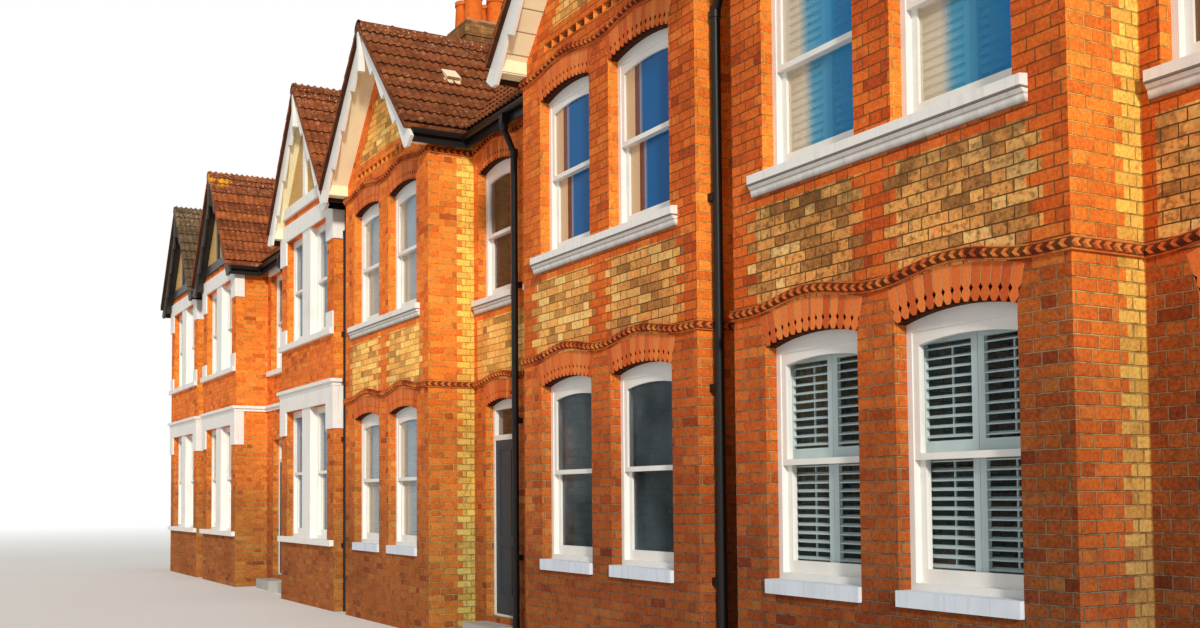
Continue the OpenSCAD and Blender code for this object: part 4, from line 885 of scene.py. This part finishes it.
panels = []
middles = [bay_of(house) for house in range(1, 7)]
stops = [-ROW_END] + [bay[0] for bay in middles] + [ROW_END]
for number in range(7):
    start, end = stops[number], stops[number + 1]
    planes = [((end, 0, 0), (1, 0, 0)), ((0, RIDGE_Y, 0), (0, 1, 0))]
    for bay, sign in ((number - 1, 1), (number, -1)):
        if 0 <= bay <= 5:
            middle, half, pitch, verge, apex = middles[bay]
            planes.append(((middle, 0, apex), (-sign * math.sin(pitch), 0, -math.cos(pitch))))
    corner = (start, DOOR_WALL - EAVES, MAIN_TOP[2] - EAVES * math.tan(PITCH))
    panels.append(lay_tiles(corner, (1, 0, 0), MAIN_UP, end - start, SLOPE_LEN, *planes))
fix_in_place(join_pieces(panels), "front_slope_tiles", brown_tile)

REAR_PITCH = math.radians(26)
REAR_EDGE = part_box("rear_roof_slope")[1][1]
rear_low = RIDGE_Z - (REAR_EDGE - RIDGE_Y) * math.tan(REAR_PITCH)
rear_up = (0, -math.cos(REAR_PITCH), math.sin(REAR_PITCH))
rear = lay_tiles((ROW_END, REAR_EDGE, rear_low), (-1, 0, 0), rear_up,
                 2 * ROW_END, (REAR_EDGE - RIDGE_Y) / math.cos(REAR_PITCH),
                 ((-ROW_END, 0, 0), (-1, 0, 0)), ((0, RIDGE_Y, 0), (0, -1, 0)))
fix_in_place(rear, "rear_slope_tiles", brown_tile)
bpy.data.objects.remove(tile)

# Roof vent. One cream plastic ventilator with a hood that opens down the slope, clipped in place of a tile
# on the bay roof of house 4.
VENT_X, VENT_Y, VENT_UP = 2.565, BAY_FACE + 0.60, 0.034
hood = block((0.27, 0.19, 0.060), (0, 0, 0.030))
open_mesh()
pick(hood, "VERT", lambda place: place.z > 0.05 and place.x < 0)
bpy.ops.transform.translate(value=(0.02, 0, -0.038))
pick(hood, "FACE", lambda place: place.x > 0.13)
bpy.ops.mesh.inset(thickness=0.012, depth=-0.06)
bpy.ops.mesh.select_all(action="SELECT")
bpy.ops.mesh.bevel(offset=0.004, segments=2)
close_mesh()
apron = block((0.10, 0.23, 0.016), (0.125, 0, -0.004))
open_mesh()
bpy.ops.mesh.bevel(offset=0.005, segments=2)
close_mesh()
vent = join_pieces([hood, apron])
middle, half, pitch, verge, apex = bay_of(4)
on_roof = Vector((VENT_X, VENT_Y, apex - (VENT_X - middle) * math.tan(pitch)))
on_roof += Vector((math.sin(pitch), 0, math.cos(pitch))) * VENT_UP
vent.matrix_world = Matrix.Translation(on_roof) @ Matrix.Rotation(pitch, 4, "Y")
fix_in_place(vent, "roof_vent", gloss_paint("cream_plastic", (0.86, 0.72, 0.50), 0.5))

# Ridge caps. Half-round tiles of the same clay, 450 mm long, each with a raised collar over the joint,
# bedded in mortar along the main ridge and the ridge of every bay. The bay with grey tiles has grey ones.
RIDGE_LEN, CAP_RADIUS, CAP_T = 0.450, 0.118, 0.012
MAIN_SEAT, BAY_SEAT, CAP_TUCK = 0.075, 0.080, 0.10
bpy.ops.object.select_all(action="DESELECT")
bpy.ops.mesh.primitive_cylinder_add(vertices=20, radius=CAP_RADIUS, depth=RIDGE_LEN, end_fill_type="NOTHING",
                                    location=(0, RIDGE_LEN / 2, 0), rotation=(math.pi / 2, 0, 0))
cap = bpy.context.object
settle()
open_mesh()
bpy.ops.mesh.bisect(plane_co=(0, 0, -0.002), plane_no=(0, 0, -1), clear_outer=True)
bpy.ops.mesh.select_all(action="SELECT")
bpy.ops.mesh.bisect(plane_co=(0, 0.05, 0), plane_no=(0, 1, 0))
pick(cap, "VERT", lambda place: place.y < 0.02)
bpy.ops.transform.resize(value=(1.10, 1, 1.10), center_override=(0, 0, 0))
close_mesh()
shell = cap.modifiers.new("shell", "SOLIDIFY")
shell.thickness = CAP_T
bpy.ops.object.modifier_apply(modifier=shell.name)
only(cap)
bpy.ops.object.shade_smooth_by_angle(angle=math.radians(40))


def cap_ridge(start, turn, length):
    run = copy_at(cap, (0, 0, 0))
    repeat(run, math.ceil(length / RIDGE_LEN), (0, RIDGE_LEN, 0))
    cut_off(run, ((0, 0, 0), (0, -1, 0)), ((0, length, 0), (0, 1, 0)))
    run.matrix_world = Matrix.Translation(start) @ Matrix.Rotation(turn, 4, "Z")
    only(run)
    settle()
    return run


caps = [cap_ridge((-ROW_END, RIDGE_Y, RIDGE_Z - MAIN_SEAT), -math.pi / 2, 2 * ROW_END)]
for house in range(1, 7):
    middle, half, pitch, verge, apex = bay_of(house)
    back = BAY_DEPTH + (apex - CAP_TUCK - MAIN_TOP[2]) / math.tan(PITCH)
    caps.append(cap_ridge((middle, BAY_FACE - verge + VERGE_GAP, apex - BAY_SEAT), 0.0, back + verge))
fix_in_place(caps.pop(1), "grey_ridge_caps", grey_tile)
ridge_caps = fix_in_place(join_pieces(caps), "ridge_caps", brown_tile)
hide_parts("ridge_tiles")
bpy.data.objects.remove(cap)

# Verges. Cream painted soffit boards run from the gable wall out to the bargeboards, which are scalloped
# boards painted white, or black on the two far houses. Tie beams and posts of the same softwood, nailed on
# in front, cross the gables of the rendered houses.
SOFFIT_BOARD = 0.170


def board_paint():
    finish = gloss_paint("cream_paint", (0.94, 0.88, 0.58), 0.5)
    tree, shader, place, cream = reopen(finish)
    x, y, z = split_up(tree, place)
    part = calc(tree, "FRACT", calc(tree, "DIVIDE", z, SOFFIT_BOARD))
    board = rising(tree, calc(tree, "MINIMUM", part, rest_of(tree, part)), 0.015, 0.04)
    board = calc(tree, "MAXIMUM", board, is_under(tree, x, HOUSE))
    painted = tint(tree, board, (0.42, 0.30, 0.16, 1), cream)
    # The soffits of the two far houses are painted black: dark timber, deepened as painted shade.
    coat(tree, shader, tint(tree, is_under(tree, x, -HOUSE), painted, (0.022, 0.019, 0.017, 1)))
    raise_surface(tree, shader, board, 0.004)
    return finish


finish_nodes(board_paint(), "verge_soffits")
finish_nodes(white_paint, "bargeboards_white")
finish_nodes(gloss_paint("black_timber", (0.035, 0.03, 0.028), 0.5), "bargeboards_dark")
tie_paint = gloss_paint("tie_paint", (0.82, 0.81, 0.77))
tree, shader, place, white = reopen(tie_paint)
far_pair = is_under(tree, split_up(tree, place)[0], -HOUSE)
coat(tree, shader, tint(tree, far_pair, white, (0.035, 0.03, 0.028, 1)))
finish_nodes(tie_paint, "gable_ties")

# Rainwater goods. Half-round cast-iron gutters on fascia boards, and cast-iron downpipes held off the wall
# by clips, all in old black gloss paint.
black_iron = gloss_paint("black_iron", (0.012, 0.011, 0.011), 0.4)
finish_nodes(black_iron, "eaves_boards", "gutters", "downpipes")

# Chimneys. Stock-brick stacks with corbelled tops on the party walls, brown with soot, each with four thrown
# terracotta pots that stand in a sloped bed of mortar.
BED_T, BED_MARGIN = 0.06, 0.08
finish_nodes(brick_finish("sooty_brick", stock=True, sooty=True), "chimney_stacks")
stack_low, stack_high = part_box("chimney_stacks")
beds = []
for pair in PAIRS:
    bed_w = 2 * (stack_high[0] - PAIRS[2]) - BED_MARGIN
    bed = block((bed_w, stack_high[1] - stack_low[1] - BED_MARGIN, BED_T))
    open_mesh()
    pick(bed, "FACE", lambda place: place.z > 0.02)
    bpy.ops.transform.resize(value=(0.80, 0.86, 1), center_override=(0, 0, BED_T / 2))
    close_mesh()
    bed_y, bed_z = (stack_low[1] + stack_high[1]) / 2, stack_high[2] + BED_T / 2
    bed.matrix_world = Matrix.Translation((pair, bed_y, bed_z))
    beds.append(bed)
bed_mortar = painted_stone("bed_mortar", (0.34, 0.27, 0.19), 0.8)
fix_in_place(join_pieces(beds), "mortar_beds", bed_mortar)


def clay_finish():
    finish, tree, shader, place = new_finish("terracotta", 0.8)
    cloud = mottle(tree, place, 6.0, 5.0)
    face = paint_steps(tree, cloud, (0.3, (0.62, 0.12, 0.016)), (0.6, (0.76, 0.17, 0.024)),
                       (0.8, (0.34, 0.075, 0.02)))
    coat(tree, shader, face)
    raise_surface(tree, shader, mottle(tree, place, 80.0, 3.0), 0.002)
    return finish


finish_nodes(clay_finish(), "chimney_pots")

# Floor, light and camera. A pale floor that fades to white far away, plain white surroundings, and one wide
# soft lamp that stands low on the right. The camera looks along the fronts from the right-hand end.
bpy.ops.mesh.primitive_plane_add(size=400, location=(0, 0, -0.002))
floor = bpy.context.object
floor.name = "pale_floor"
pale, tree, shader, place = new_finish("pale_floor", 0.9)
tree.nodes.remove(shader)
soft = node(tree, "ShaderNodeBsdfDiffuse", {"Color": (0.80, 0.79, 0.77, 1)})
glow = node(tree, "ShaderNodeEmission", {"Color": (1, 1, 1, 1), "Strength": 1.0})
paths = node(tree, "ShaderNodeLightPath")
far = node(tree, "ShaderNodeVectorMath", {0: place}, operation="LENGTH").outputs[1]
seen = times(tree, rising(tree, far, 22.0, 60.0), paths.outputs["Is Camera Ray"])
mixed = node(tree, "ShaderNodeMixShader", {0: seen, 1: soft.outputs[0], 2: glow.outputs[0]})
tree.links.new(mixed.outputs[0], tree.nodes["Material Output"].inputs[0])
floor.data.materials.append(pale)

world = bpy.data.worlds.new("studio")
bpy.context.scene.world = world
world.use_nodes = True
tree = world.node_tree
tree.nodes.clear()
paths = node(tree, "ShaderNodeLightPath")
direct = calc(tree, "MAXIMUM", paths.outputs["Is Camera Ray"], paths.outputs["Is Transmission Ray"])
direct = calc(tree, "MAXIMUM", direct, paths.outputs["Is Glossy Ray"])
lit = node(tree, "ShaderNodeBackground", {"Color": (0.94, 0.97, 1.0, 1), "Strength": 0.50})
shown = node(tree, "ShaderNodeBackground", {"Color": (1, 1, 1, 1), "Strength": 1.0})
mixed = node(tree, "ShaderNodeMixShader", {0: direct, 1: lit.outputs[0], 2: shown.outputs[0]})
node(tree, "ShaderNodeOutputWorld", {0: mixed.outputs[0]})

bpy.ops.object.light_add(type="SUN", location=(20, -15, 12))
lamp = bpy.context.object
lamp.data.energy = 2.9
lamp.data.angle = math.radians(6)
lamp.data.color = (1.0, 0.93, 0.82)
lamp.rotation_euler = Vector((0.877, -0.325, 0.36)).to_track_quat("Z", "Y").to_euler()

bpy.ops.object.camera_add(location=(17.188, BAY_FACE - 5.4466, 1.600))
camera = bpy.context.object
YAW, RISE, ROLL = 0.5095, 0.0455, -0.0082
IMAGE_W, IMAGE_H = 1200, 628
LENS_PX, LEVEL_PX, SENSOR = 1266.05, 437.94, 36
ahead = Vector((-math.cos(YAW) * math.cos(RISE), math.sin(YAW) * math.cos(RISE), math.sin(RISE)))
turned = ahead.to_track_quat("-Z", "Y").to_matrix() @ Matrix.Rotation(ROLL, 3, "Z")
camera.rotation_euler = turned.to_euler()
camera.data.sensor_width = SENSOR
camera.data.lens = LENS_PX / IMAGE_W * SENSOR
camera.data.shift_y = (LEVEL_PX - IMAGE_H / 2) / IMAGE_W
camera.data.clip_end = 500
bpy.context.scene.camera = camera
bpy.context.scene.view_settings.view_transform = "Standard"
